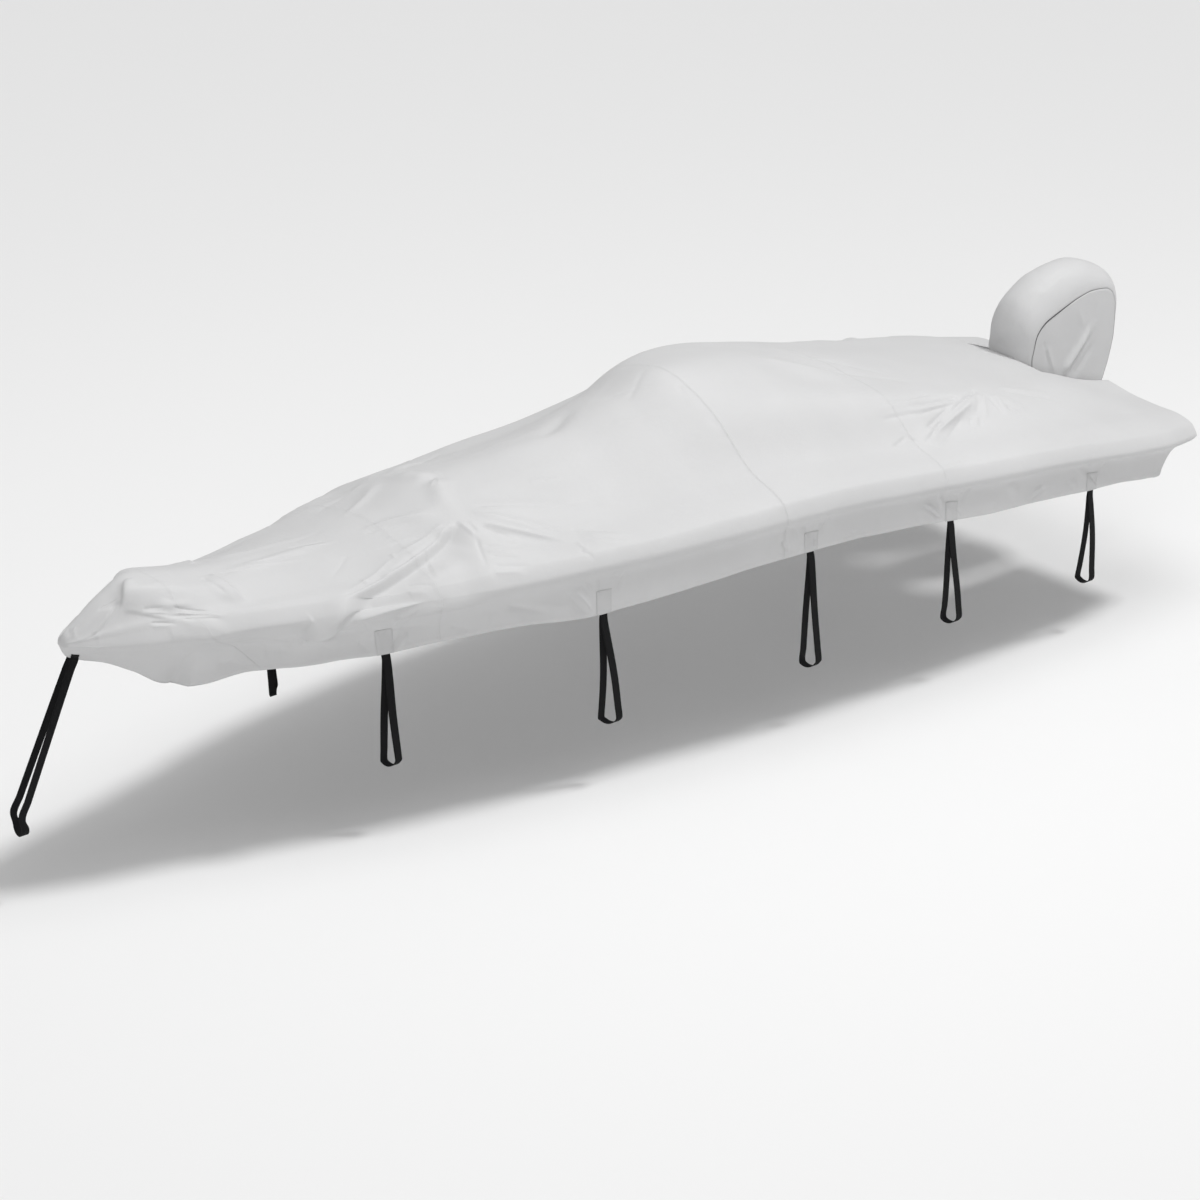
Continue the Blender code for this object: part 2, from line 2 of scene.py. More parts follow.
# # A fitted boat cover, with its hood and tie-down straps
#
# The cover is one big sheet of coated polyester, sewn from slanted panels and drawn tight at its hem. It has
# no thickness to speak of, so all that the eye reads is how it bends: the tight skirt round its edge, the
# soft middle, and the creases that run out from the two places where something pushes it up. The lesson
# builds that skin as a function of two numbers, adds creases one by one, and cuts it at its seams.

# %% Load the frame
import math

import bpy
import numpy as np
from mathutils import Matrix, Vector


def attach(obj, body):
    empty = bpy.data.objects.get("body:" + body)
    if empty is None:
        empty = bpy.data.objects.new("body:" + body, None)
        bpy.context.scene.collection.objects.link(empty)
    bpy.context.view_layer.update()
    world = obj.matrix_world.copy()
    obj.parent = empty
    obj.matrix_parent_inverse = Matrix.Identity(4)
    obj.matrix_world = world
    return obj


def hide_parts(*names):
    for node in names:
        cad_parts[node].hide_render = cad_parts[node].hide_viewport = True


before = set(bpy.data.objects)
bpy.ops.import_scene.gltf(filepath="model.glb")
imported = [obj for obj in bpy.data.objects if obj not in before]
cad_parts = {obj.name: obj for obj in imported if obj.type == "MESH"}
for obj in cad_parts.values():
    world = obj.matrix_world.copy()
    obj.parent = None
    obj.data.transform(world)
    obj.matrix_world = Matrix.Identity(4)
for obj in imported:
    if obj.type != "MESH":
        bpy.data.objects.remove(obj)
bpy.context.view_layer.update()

# %% [markdown]
# ## Floor, light and camera
#
# Pale cloth on a pale ground needs light with a direction, or its folds vanish. A soft box above the middle
# gives the top its tone, falls off towards both ends, and leaves the skirt a step darker. A distant lamp high
# over the stern draws out the creases, a faint low one does so for the skirt, and a bright sky keeps the
# shadows soft. The camera stands well back with a long lens, as it did for the picture, so that the far end
# hardly shrinks.

# %% Floor and lights
FLOOR_Z, FLOOR_REACH = -1.6325, 40.0
FLOOR_CORNERS = [(x * FLOOR_REACH, y * FLOOR_REACH, FLOOR_Z) for x, y in ((-1, -1), (1, -1), (1, 1), (-1, 1))]
FLOOR_GREY = (0.84, 0.84, 0.84)


def link(name, data):
    """A new object in the scene with this mesh, lamp or camera."""
    piece = bpy.data.objects.new(name, data)
    bpy.context.scene.collection.objects.link(piece)
    return piece


def plain_material(name, colour, roughness):
    """One colour all over."""
    material = bpy.data.materials.new(name)
    material.use_nodes = True
    shader = material.node_tree.nodes["Principled BSDF"]
    shader.inputs["Base Color"].default_value = (*colour, 1)
    shader.inputs["Roughness"].default_value = roughness
    return material


def aim(light, way):
    """Turns a lamp so that it shines along way."""
    light.rotation_euler = Vector(way).to_track_quat("-Z", "Y").to_euler()
    return light


def sun(name, strength, spread, way):
    """A distant lamp that shines along way, with soft shadows: spread is how wide it looks, in degrees."""
    data = bpy.data.lights.new(name, "SUN")
    data.energy, data.angle = strength, math.radians(spread)
    return aim(link(name, data), way)


def soft_box(name, strength, size, place, way):
    """A square lamp, size metres wide, that shines along way."""
    data = bpy.data.lights.new(name, "AREA")
    data.size, data.energy = size, strength
    light = link(name, data)
    light.location = place
    return aim(light, way)


def sky(name, strength):
    """Even white light from all round."""
    world = bpy.data.worlds.new(name)
    bpy.context.scene.world = world
    world.use_nodes = True
    world.node_tree.nodes["Background"].inputs["Color"].default_value = (1.0, 1.0, 1.0, 1)
    world.node_tree.nodes["Background"].inputs["Strength"].default_value = strength


floor_mesh = bpy.data.meshes.new("floor")
floor_mesh.from_pydata(FLOOR_CORNERS, [], [(0, 1, 2, 3)])
floor_mesh.materials.append(plain_material("pale_floor", FLOOR_GREY, 0.9))
floor = link("floor", floor_mesh)

lamps = [
    sun("key_light", 1.5, 10, (-0.38, 0.20, -0.90)),
    sun("port_light", 0.50, 25, (0.60, 0.75, -0.30)),
    soft_box("soft_box", 200, 5.0, (1.0, -1.6, 6.6), (-0.15, 0.20, -1.0)),
]
sky("soft_sky", 0.42)
bpy.context.scene.view_settings.view_transform = "Standard"
print("lamps", ", ".join(lamp.name for lamp in lamps))

# %% Camera
CAMERA_PLACE = (-10.85757, -13.97994, 6.58117)
CAMERA_RIGHT = (0.795243, -0.605956, -0.020135)
CAMERA_UP = (0.258326, 0.308602, 0.915441)
CAMERA_BACK = (-0.548504, -0.733200, 0.401948)
SENSOR_WIDTH, LENS = 36.0, 118.86

camera_data = bpy.data.cameras.new("camera")
camera_data.sensor_width = SENSOR_WIDTH
camera_data.lens = LENS
camera = link("camera", camera_data)
turn = Matrix((CAMERA_RIGHT, CAMERA_UP, CAMERA_BACK)).transposed().to_4x4()
camera.matrix_world = Matrix.Translation(CAMERA_PLACE) @ turn
bpy.context.scene.camera = camera
print("camera lens", camera_data.lens)

# %% [markdown]
# ## The shape under the cloth
#
# The cover is described by its sections, one every foot or so from the nose to the stern. Each row below is
# half a section: the edge where the top ends, the raised middle (shoulder, ridge), and the hem. One could
# also model the cover by pushing vertices about, but then it could not be made finer later. With a table and
# two smooth curves, every point of the skin comes from x along the cover and v around it, from -1 at the port
# hem to 1.

# %% Sections of the cover
STATION_COLUMNS = ("x", "edge_y", "edge_z", "shoulder_y", "shoulder_z", "ridge_z", "hem_y", "hem_z", "sag")
STATIONS = np.array([
    (-3.334, 0.021, -0.470, 0.009, -0.454, -0.450, 0.000, -0.488, 0.000),
    (-3.316, 0.051, -0.463, 0.021, -0.428, -0.420, 0.000, -0.523, 0.000),
    (-3.269, 0.093, -0.458, 0.033, -0.395, -0.386, 0.000, -0.554, 0.000),
    (-3.120, 0.177, -0.456, 0.065, -0.311, -0.288, 0.000, -0.616, 0.000),
    (-2.989, 0.234, -0.456, 0.103, -0.260, -0.232, 0.000, -0.694, 0.000),
    (-2.802, 0.290, -0.456, 0.131, -0.297, -0.264, 0.000, -0.806, 0.000),
    (-2.765, 0.301, -0.456, 0.133, -0.306, -0.274, 0.112, -0.797, 0.000),
    (-2.522, 0.364, -0.456, 0.140, -0.344, -0.311, 0.271, -0.741, 0.000),
    (-2.055, 0.509, -0.456, 0.196, -0.358, -0.330, 0.467, -0.745, -0.009),
    (-1.681, 0.635, -0.456, 0.243, -0.316, -0.283, 0.598, -0.713, -0.028),
    (-1.401, 0.702, -0.456, 0.280, -0.264, -0.217, 0.661, -0.717, -0.019),
    (-1.027, 0.771, -0.456, 0.262, -0.269, -0.194, 0.738, -0.745, 0.000),
    (-0.654, 0.831, -0.454, 0.271, -0.250, -0.166, 0.803, -0.728, 0.019),
    (-0.280, 0.883, -0.451, 0.327, -0.194, -0.082, 0.850, -0.708, 0.037),
    (0.000, 0.925, -0.444, 0.402, -0.143, 0.002, 0.887, -0.689, 0.056),
    (0.280, 0.962, -0.442, 0.467, -0.105, -0.012, 0.920, -0.684, 0.065),
    (0.747, 0.990, -0.474, 0.514, -0.180, -0.119, 0.948, -0.708, 0.065),
    (1.214, 0.999, -0.521, 0.523, -0.283, -0.227, 0.962, -0.764, 0.047),
    (1.681, 0.999, -0.568, 0.523, -0.379, -0.330, 0.957, -0.801, 0.028),
    (2.148, 0.981, -0.638, 0.495, -0.474, -0.428, 0.934, -0.853, 0.023),
    (2.475, 0.943, -0.689, 0.448, -0.577, -0.558, 0.887, -0.909, 0.019),
    (2.727, 0.873, -0.725, 0.402, -0.647, -0.633, 0.803, -0.937, 0.019),
])
# x at the ridge and at the hem, for the slanted rings at both ends
LEAN = np.array([(-3.334, -3.334), (-3.101, -2.802), (-2.914, -2.494), (-2.102, -2.064), (-1.747, -1.747),
                 (2.288, 2.288), (2.727, 2.540)])
# v of the eight points of a section, from the ridge to the hem
KNOTS = np.array([0.0, 0.20, 0.33, 0.55, 0.75, 0.79, 0.89, 1.0])
FIRST_X, STERN = STATIONS[0, 0], STATIONS[-1, 0]
STEM_END = -2.802
NOSE_TIP = (-3.338, 0.0, -0.468)
# half width below which the roundings shrink, and how far those of the edge and the shoulder reach
NARROW = 0.28
EDGE_ROUND, EDGE_FALL, SHOULDER_ROUND = 0.047, 0.042, 0.019


def smooth_through(knots, values, x):
    """A curve through the values that rises and falls only where they do: cubic pieces whose slope at each
    knot is the harmonic mean of the slopes on either side."""
    step = np.diff(knots)
    rise = np.diff(values) / step
    slope = np.zeros_like(values)
    product = rise[:-1] * rise[1:]
    slope[1:-1] = np.where(product > 0, 2 * product / (rise[:-1] + rise[1:] + 1e-12), 0)
    slope[0], slope[-1] = rise[0], rise[-1]
    i = np.clip(np.searchsorted(knots, x) - 1, 0, len(knots) - 2)
    t = (x - knots[i]) / step[i]
    start = (1 + 2 * t) * (1 - t) ** 2 * values[i] + t * (1 - t) ** 2 * step[i] * slope[i]
    end = t * t * (3 - 2 * t) * values[i + 1] + t * t * (t - 1) * step[i] * slope[i + 1]
    return start + end


def section_points(x):
    """(y, z) of the eight points of half a section, and one more beyond each end, for the slopes there. Where
    the cover is narrow, the roundings of its edge and shoulder shrink with it."""
    at = {}
    for column, name in enumerate(STATION_COLUMNS[1:], 1):
        at[name] = smooth_through(STATIONS[:, 0], STATIONS[:, column], x)
    small = np.minimum(1, at["edge_y"] / NARROW)
    in_y = at["shoulder_y"] - at["edge_y"]
    in_z = at["shoulder_z"] - at["edge_z"]
    round_off = EDGE_ROUND * small / (np.hypot(in_y, in_z) + 1e-9)
    tuck = 0.22 + 0.33 * (1 - np.minimum(1, at["hem_y"] / NARROW))
    y = np.stack([
        0 * x,
        0.6 * at["shoulder_y"],
        at["shoulder_y"] + SHOULDER_ROUND * small,
        at["edge_y"] + 0.5 * in_y,
        at["edge_y"] + in_y * round_off,
        at["edge_y"] - 0.002 * small,
        at["hem_y"] + tuck * (at["edge_y"] - at["hem_y"]),
        at["hem_y"],
    ])
    z = np.stack([
        at["ridge_z"],
        at["shoulder_z"] + 0.62 * (at["ridge_z"] - at["shoulder_z"]),
        at["shoulder_z"] - 0.002 * small,
        at["edge_z"] + 0.5 * in_z - at["sag"],
        at["edge_z"] + in_z * round_off + 0.004 * small,
        at["edge_z"] - EDGE_FALL * small,
        at["edge_z"] + 0.45 * (at["hem_z"] - at["edge_z"]),
        at["hem_z"],
    ])
    y = np.concatenate([-y[1:2], y, 2 * y[-1:] - y[-2:-1]])
    z = np.concatenate([z[1:2], z, 2 * z[-1:] - z[-2:-1]])
    return y, z


def section(x, v):
    """(y, z) of the smooth skin: v picks a place along a cubic curve through the section's points at x."""
    y, z = section_points(x)
    knots = np.concatenate([[-KNOTS[1]], KNOTS, [2 * KNOTS[-1] - KNOTS[-2]]])
    i = np.clip(np.searchsorted(knots, np.abs(v), side="right") - 1, 1, len(knots) - 3)
    span = knots[i + 1] - knots[i]
    t = (np.abs(v) - knots[i]) / span

    def between(values):
        """A cubic piece from point i to the next, its slope at each taken from the points on either side."""
        p = [np.take_along_axis(values, (i + k)[None], 0)[0] for k in (-1, 0, 1, 2)]
        first = (p[2] - p[0]) / (knots[i + 1] - knots[i - 1]) * span
        second = (p[3] - p[1]) / (knots[i + 2] - knots[i]) * span
        start = (1 + 2 * t) * (1 - t) ** 2 * p[1] + t * (1 - t) ** 2 * first
        return start + t * t * (3 - 2 * t) * p[2] + t * t * (t - 1) * second

    return np.sign(v) * between(y), between(z)


def ring_x(x_ridge, v):
    """x of the ring that crosses the ridge at x_ridge: x_ridge plus a share of the way to its place at the
    hem. At the nose the rings lean aft towards the hem, and at the stern they lean forward."""
    a = np.abs(v)
    x_hem = np.interp(x_ridge, LEAN[:, 0], LEAN[:, 1])
    at_nose = 0.28 * a + 0.72 * np.clip((a - 0.7) / 0.3, 0, 1) ** 1.2
    at_stern = np.clip((a - 0.79) / 0.21, 0, 1) ** 0.6
    return x_ridge + (x_hem - x_ridge) * np.where(x_ridge < 0, at_nose, at_stern)


probe_y, probe_z = section(np.array([0.0]), np.array([-1.0]))
print("port hem amidships", round(float(probe_y[0]), 3), round(float(probe_z[0]), 3))

# %% [markdown]
# ## Folds and creases
#
# Cloth that is pulled over a bump throws straight creases away from it, like the rays of a star, and slack
# cloth gathers beside a seam. A cloth simulation makes such folds too, but never in the places where this
# cover has them, so they are listed one by one. Each row is a line on the cloth, from x0, v0 to x1, v1, with a
# half width and a height. The broad ones, which show from a step away, come first.

# %% Broad folds
# x0, v0, x1, v1, half width, height, share of it on the starboard side
FOLDS = (
    (-1.375, -0.314, -0.733, -0.536, 0.045, 0.012, 0.6), (-1.392, -0.336, -0.984, -0.650, 0.040, 0.020, 0.7),
    (-0.984, -0.650, -0.741, -0.750, 0.040, 0.012, 0.0), (-1.401, -0.457, -0.984, -0.757, 0.045, -0.013, 0.6),
    (-1.461, -0.293, -1.808, -0.129, 0.040, 0.012, 0.8), (-1.331, 0.007, -1.444, -0.307, 0.055, 0.022, 1.0),
    (-1.531, -0.600, -1.946, -0.800, 0.060, 0.018, 0.6), (-2.364, -0.880, -1.806, -0.779, 0.030, 0.022, 0.3),
    (-2.364, -0.871, -2.028, -0.907, 0.030, 0.010, 0.0), (-2.364, -0.880, -2.770, -0.860, 0.040, -0.014, 0.6),
    (-2.364, -0.880, -2.068, -0.736, 0.030, 0.020, 0.0), (-2.964, -0.493, -2.738, -0.493, 0.028, 0.008, 0.0),
    (-2.941, -0.629, -2.659, -0.707, 0.028, -0.008, 0.7), (-2.903, -0.757, -2.635, -0.771, 0.028, 0.009, 0.0),
    (-2.985, -0.100, -3.083, -0.443, 0.030, 0.012, 0.1), (-3.089, -0.364, -3.259, -0.686, 0.022, 0.007, 0.5),
    (-2.651, -0.179, -2.532, -0.650, 0.045, 0.016, 0.7), (-2.573, -0.207, -1.920, -0.086, 0.040, 0.012, 0.5),
    (1.539, -0.329, 1.123, -0.471, 0.045, 0.011, 0.7), (1.123, -0.471, 0.984, -0.540, 0.045, 0.012, 0.0),
    (1.460, -0.400, 1.028, -0.560, 0.040, -0.006, 0.6), (1.609, -0.307, 0.924, -0.379, 0.060, 0.009, 0.5),
    (1.609, -0.307, 1.782, -0.486, 0.045, 0.010, 0.8), (0.525, 0.057, 0.915, -0.257, 0.070, 0.009, 0.0),
    (-0.724, 0.007, -0.334, 0.293, 0.060, -0.014, 0.0), (-1.123, -0.871, -0.993, -0.980, 0.030, 0.010, 0.8),
    (0.811, -0.900, 0.906, -0.979, 0.030, 0.008, 0.7), (1.357, -0.880, 1.435, -0.964, 0.030, 0.008, 0.0),
    (0.002, -0.870, 0.090, -0.970, 0.030, 0.008, 0.6),
)
# x0, v0, x1, v1, up, reach_up, down, drop, reach_down, swell, fade, share of it on the starboard side
STEPS = (
    (-1.440, -0.345, -2.350, -0.885, 0.010, 0.070, 0.036, 0.050, 0.170, 0.14, 0.24, 0.3),
    (-1.500, -0.930, -1.445, -0.380, 0.005, 0.120, 0.009, 0.140, 0.200, 0.30, 0.06, 0.6),
    (-3.079, -0.440, -2.985, -0.060, 0.003, 0.060, 0.007, 0.018, 0.080, 0.15, 0.70, 0.0),
    (-2.860, -0.720, -3.079, -0.428, 0.002, 0.060, 0.005, 0.026, 0.080, 0.40, 0.15, 0.6),
    (-2.358, -0.902, -2.742, -0.862, 0.004, 0.040, 0.010, 0.024, 0.060, 0.15, 0.40, 0.7),
)


def ramp(t):
    """A smooth step from 0 to 1 as t goes from 0 to 1."""
    t = np.clip(t, 0, 1)
    return t * t * (3 - 2 * t)


def girth(x):
    """About how many metres of cloth there are from the ridge to v = 1 at x."""
    return 0.40 + 0.80 * smooth_through(STATIONS[:, 0], STATIONS[:, 1], np.clip(x, FIRST_X, STERN))


def fold_lift(p0, p1, q0, q1, half_width, height, swell=0.30, fade=0.5, crisp=False):
    """The lift at p of a fold from q0 to q1: a bell across the line, times a smooth step in at one end and
    out at the other. swell and fade are the shares of its length that these take. A crisp fold falls off as
    exp(-distance), so that it has an edge along its top, as tight cloth has."""
    along = (q1[0] - q0[0], q1[1] - q0[1])
    length = along[0] ** 2 + along[1] ** 2 + 1e-12
    t = np.clip(((p0 - q0[0]) * along[0] + (p1 - q0[1]) * along[1]) / length, 0, 1)
    away = np.hypot(p0 - q0[0] - t * along[0], p1 - q0[1] - t * along[1])
    share = away / half_width
    profile = np.exp(0.25 - np.hypot(share, 0.25)) if crisp else np.exp(-(share ** 2))
    return height * profile * ramp(t / swell) * ramp((1 - t) / fade)


def step_lift(p0, p1, q0, q1, up, reach_up, down, drop, reach_down, swell, fade):
    """The lift at p of an edge from q0 to q1, where a tight face of cloth breaks. To the right of the line
    the cloth stands up by up, and settles within reach_up. To its left it falls to -down within drop, and
    comes back within reach_down."""
    along = (q1[0] - q0[0], q1[1] - q0[1])
    length = np.hypot(*along) + 1e-9
    t = np.clip(((p0 - q0[0]) * along[0] + (p1 - q0[1]) * along[1]) / length ** 2, 0, 1)
    side = (along[1] * (p0 - q0[0]) - along[0] * (p1 - q0[1])) / length
    high = up * np.exp(-np.clip(side, 0, None) / reach_up)
    low = np.where(-side < drop, up - (up + down) * ramp(-side / drop),
                   -down * np.exp(-(np.clip(-side - drop, 0, None) / reach_down) ** 2))
    return np.where(side >= 0, high, low) * ramp(t / swell) * ramp((1 - t) / fade)


def broad_folds(x, v):
    """The sum of the folds and steps. Each stands on the port side, and again on the starboard side at its
    share of the height."""
    around = girth(x)
    lift = np.zeros_like(x)
    for x0, v0, x1, v1, half_width, height, starboard in FOLDS:
        for side, share in ((1, 1.0), (-1, starboard)):
            if share:
                ends = ((x0, side * v0 * around), (x1, side * v1 * around))
                lift += share * fold_lift(x, v * around, *ends, half_width, height)
    for x0, v0, x1, v1, *shape, starboard in STEPS:
        for side, share in ((1, 1.0), (-1, starboard)):
            ends = ((x0, v0 * around), (x1, v1 * around))
            lift += share * np.where(side * v < 0, step_lift(x, side * v * around, *ends, *shape), 0)
    return lift


print("broad folds", len(FOLDS))

# %% [markdown]
# Between the broad folds run creases a finger wide. They decide whether the cloth looks like cloth, so they
# have a table of their own, read off the picture region by region. A light line is a ridge and a dark one a
# trough. The far side, which the picture doesn't show, gets the same creases a little moved and softer, so
# that it isn't a mirror.

# %% Fine creases
# x0, v0, x1, v1, half width, height
CREASES = (
    # nose
    (-2.882, -0.508, -2.684, -0.639, 0.010, -0.0030), (-3.005, -0.508, -2.894, -0.515, 0.010, -0.0025),
    (-2.881, -0.591, -2.652, -0.755, 0.012, 0.0030), (-2.854, -0.716, -2.640, -0.768, 0.010, -0.0030),
    (-2.998, -0.542, -2.886, -0.587, 0.009, 0.0020), (-2.994, -0.677, -2.874, -0.749, 0.010, -0.0025),
    (-2.989, -0.730, -2.862, -0.762, 0.010, 0.0020), (-2.848, -0.762, -2.661, -0.776, 0.011, 0.0020),
    (-2.845, -0.770, -2.670, -0.788, 0.010, -0.0020), (-2.924, -0.770, -2.841, -0.780, 0.009, 0.0019),
    (-2.832, -0.789, -2.545, -0.869, 0.016, 0.0020), (-2.732, -0.871, -2.505, -0.911, 0.016, -0.0020),
    (-2.607, -0.164, -2.528, -0.591, 0.016, 0.0045), (-2.659, -0.206, -2.594, -0.477, 0.018, -0.0035),
    (-2.562, -0.187, -2.370, -0.235, 0.012, -0.0019), (-3.081, -0.341, -3.264, -0.741, 0.013, -0.0046),
    (-3.083, -0.320, -3.174, -0.295, 0.010, -0.0023), (-3.201, -0.531, -3.209, -0.809, 0.009, 0.0015),
    (-3.290, -0.036, -3.307, -0.494, 0.007, -0.0015), (-3.274, -0.220, -3.291, -0.621, 0.007, 0.0015),
    (-2.772, -0.963, -2.577, -0.952, 0.026, -0.0050), (-2.684, -0.946, -2.505, -0.990, 0.016, -0.0020),
    # forward
    (-2.417, -0.156, -2.076, -0.200, 0.011, -0.0022), (-2.451, -0.193, -2.112, -0.245, 0.011, 0.0018),
    (-2.163, -0.040, -1.928, -0.100, 0.010, -0.0018), (-2.117, -0.104, -1.932, -0.139, 0.009, 0.0018),
    (-1.803, -0.125, -1.504, -0.266, 0.014, 0.0030), (-1.819, -0.177, -1.561, -0.278, 0.014, -0.0020),
    (-1.963, -0.303, -2.149, -0.531, 0.014, -0.0015), (-1.545, -0.409, -1.898, -0.602, 0.016, -0.0060),
    (-1.898, -0.602, -2.176, -0.762, 0.018, -0.0040), (-1.500, -0.357, -1.811, -0.463, 0.013, 0.0030),
    (-1.815, -0.473, -2.165, -0.745, 0.015, 0.0025), (-1.807, -0.432, -1.814, -0.500, 0.009, 0.0025),
    (-2.005, -0.589, -2.012, -0.660, 0.009, 0.0020), (-1.666, -0.455, -1.735, -0.751, 0.008, -0.0025),
    (-1.658, -0.461, -1.723, -0.749, 0.008, 0.0015), (-1.854, -0.705, -1.739, -0.747, 0.009, -0.0012),
    (-1.864, -0.759, -1.766, -0.768, 0.009, 0.0017), (-2.136, -0.832, -1.789, -0.786, 0.014, 0.0070),
    (-2.057, -0.786, -1.809, -0.772, 0.014, -0.0028), (-2.346, -0.890, -2.147, -0.838, 0.015, 0.0085),
    (-2.332, -0.903, -2.006, -0.925, 0.016, -0.0085), (-2.006, -0.925, -1.739, -0.927, 0.016, -0.0042),
    (-2.350, -0.909, -2.144, -0.940, 0.012, 0.0070), (-2.370, -0.911, -2.586, -0.892, 0.013, -0.0042),
    (-2.378, -0.892, -2.604, -0.845, 0.014, 0.0028), (-2.303, -0.780, -2.344, -0.861, 0.012, 0.0028),
    (-1.872, -0.950, -1.934, -1.000, 0.009, 0.0035), (-1.902, -0.942, -1.960, -0.994, 0.009, -0.0028),
    (-2.085, -0.950, -2.033, -0.986, 0.009, -0.0028), (-2.488, -0.944, -2.318, -0.944, 0.014, -0.0023),
    # middle
    (-1.339, -0.312, -0.894, -0.488, 0.012, -0.0025), (-1.343, -0.351, -0.963, -0.648, 0.011, -0.0040),
    (-1.379, -0.341, -0.975, -0.621, 0.011, 0.0028), (-1.375, -0.423, -1.011, -0.683, 0.012, 0.0052),
    (-1.375, -0.453, -1.250, -0.565, 0.011, -0.0031), (-1.015, -0.677, -0.991, -0.739, 0.008, 0.0031),
    (-1.031, -0.724, -0.987, -0.770, 0.009, -0.0031), (-0.967, -0.664, -0.761, -0.743, 0.012, -0.0031),
    (-0.987, -0.583, -0.797, -0.672, 0.012, -0.0025), (-0.934, -0.633, -0.740, -0.720, 0.012, 0.0019),
    (-1.452, -0.374, -1.419, -0.513, 0.009, 0.0037), (-1.415, -0.394, -1.403, -0.498, 0.008, -0.0031),
    (-1.423, -0.500, -1.492, -0.730, 0.009, -0.0025), (-1.432, -0.571, -1.242, -0.650, 0.010, -0.0025),
    (-1.436, -0.612, -1.298, -0.668, 0.009, 0.0019), (-1.436, -0.650, -1.294, -0.708, 0.009, -0.0022),
    (-1.472, -0.749, -1.318, -0.766, 0.009, 0.0025), (-1.460, -0.710, -1.266, -0.759, 0.011, -0.0019),
    (-1.739, -0.766, -1.718, -0.925, 0.012, -0.0012), (-1.088, -0.900, -0.995, -0.988, 0.009, 0.0060),
    (-1.120, -0.909, -1.031, -0.988, 0.010, -0.0037), (-0.898, -0.874, -0.906, -0.954, 0.008, 0.0023),
    (-0.979, -0.874, -0.975, -0.927, 0.007, 0.0018), (-1.407, -0.090, -1.314, 0.014, 0.008, 0.0020),
    (-1.314, 0.014, -1.375, -0.125, 0.008, 0.0020), (-1.686, -0.952, -1.581, -0.981, 0.014, -0.0030),
    (-1.423, -0.917, -1.189, -0.973, 0.018, -0.0053), (-1.290, -0.930, -1.104, -0.954, 0.014, 0.0030),
    (-0.971, -0.283, -0.874, -0.295, 0.009, 0.0019), (-0.910, -0.455, -0.692, -0.479, 0.014, -0.0015),
    # crest
    (-0.312, 0.068, -0.017, -0.117, 0.014, -0.0020), (-0.021, -0.121, -0.045, -0.200, 0.009, -0.0015),
    (-0.886, -0.303, -0.793, -0.320, 0.009, 0.0015), (-0.409, -0.139, -0.130, -0.233, 0.020, 0.0015),
    (0.868, 0.024, 1.236, -0.198, 0.018, -0.0022), (0.581, -0.017, 0.880, -0.150, 0.018, 0.0020),
    (0.852, 0.168, 0.896, 0.045, 0.014, 0.0015), (0.860, -0.139, 1.304, -0.239, 0.022, -0.0016),
    # aft
    (1.579, -0.295, 1.207, -0.434, 0.012, -0.0063), (1.207, -0.434, 0.981, -0.546, 0.012, -0.0054),
    (1.450, -0.372, 1.042, -0.513, 0.014, 0.0058), (1.300, -0.378, 1.001, -0.494, 0.010, -0.0045),
    (1.405, -0.341, 0.985, -0.376, 0.012, -0.0045), (1.369, -0.359, 0.997, -0.395, 0.010, 0.0027),
    (1.349, -0.368, 1.001, -0.413, 0.010, -0.0036), (1.252, -0.309, 0.856, -0.365, 0.012, -0.0036),
    (1.207, -0.326, 0.819, -0.380, 0.011, 0.0027), (1.098, -0.394, 0.787, -0.419, 0.012, -0.0032),
    (1.632, -0.326, 1.624, -0.471, 0.011, 0.0045), (1.595, -0.345, 1.587, -0.457, 0.011, -0.0036),
    (1.575, -0.318, 1.454, -0.471, 0.011, 0.0036), (1.535, -0.332, 1.410, -0.444, 0.011, -0.0027),
    (1.377, -0.442, 1.333, -0.498, 0.007, -0.0023), (1.414, -0.440, 1.365, -0.502, 0.007, 0.0023),
    (1.438, -0.444, 1.393, -0.502, 0.007, -0.0023), (1.628, -0.397, 1.737, -0.502, 0.010, -0.0032),
    (1.729, -0.301, 2.076, -0.413, 0.016, -0.0036), (1.733, -0.283, 2.044, -0.365, 0.016, 0.0027),
    (0.807, -0.535, 0.933, -0.488, 0.009, -0.0036), (0.933, -0.490, 0.957, -0.515, 0.008, 0.0032),
    (0.921, -0.751, 1.139, -0.733, 0.010, 0.0020), (0.929, -0.735, 1.147, -0.710, 0.010, -0.0015),
    (1.050, -0.577, 1.070, -0.648, 0.010, -0.0015), (1.337, -0.430, 1.013, -0.608, 0.012, -0.0027),
    (0.811, -0.919, 0.929, -0.986, 0.009, -0.0045), (0.836, -0.913, 0.949, -0.983, 0.009, 0.0045),
    (1.022, -0.950, 1.074, -0.994, 0.008, -0.0023), (1.494, -0.975, 1.599, -0.927, 0.010, 0.0045),
    (1.523, -0.990, 1.620, -0.944, 0.009, -0.0030), (1.757, -0.927, 1.802, -0.992, 0.009, -0.0030),
    (1.781, -0.927, 1.830, -0.994, 0.009, 0.0030), (1.915, -0.932, 1.979, -0.994, 0.009, -0.0030),
    # skirt
    (-0.005, -0.927, 0.031, -0.979, 0.009, -0.0037), (0.027, -0.927, 0.056, -0.985, 0.009, 0.0030),
    (0.181, -0.952, 0.173, -0.985, 0.008, -0.0030), (0.108, -0.959, 0.116, -0.996, 0.007, 0.0023),
)
CRISPNESS = 2.3
AS_DRAWN = (0.0, 1.0, 1.0)


def starboard_change(number):
    """What differs in a crease on the starboard side: metres moved, times as wide, share of its height."""
    return 0.02 + 0.03 * math.sin(2.4 * number), 1.3, 0.55 + 0.3 * math.sin(1.7 * number)


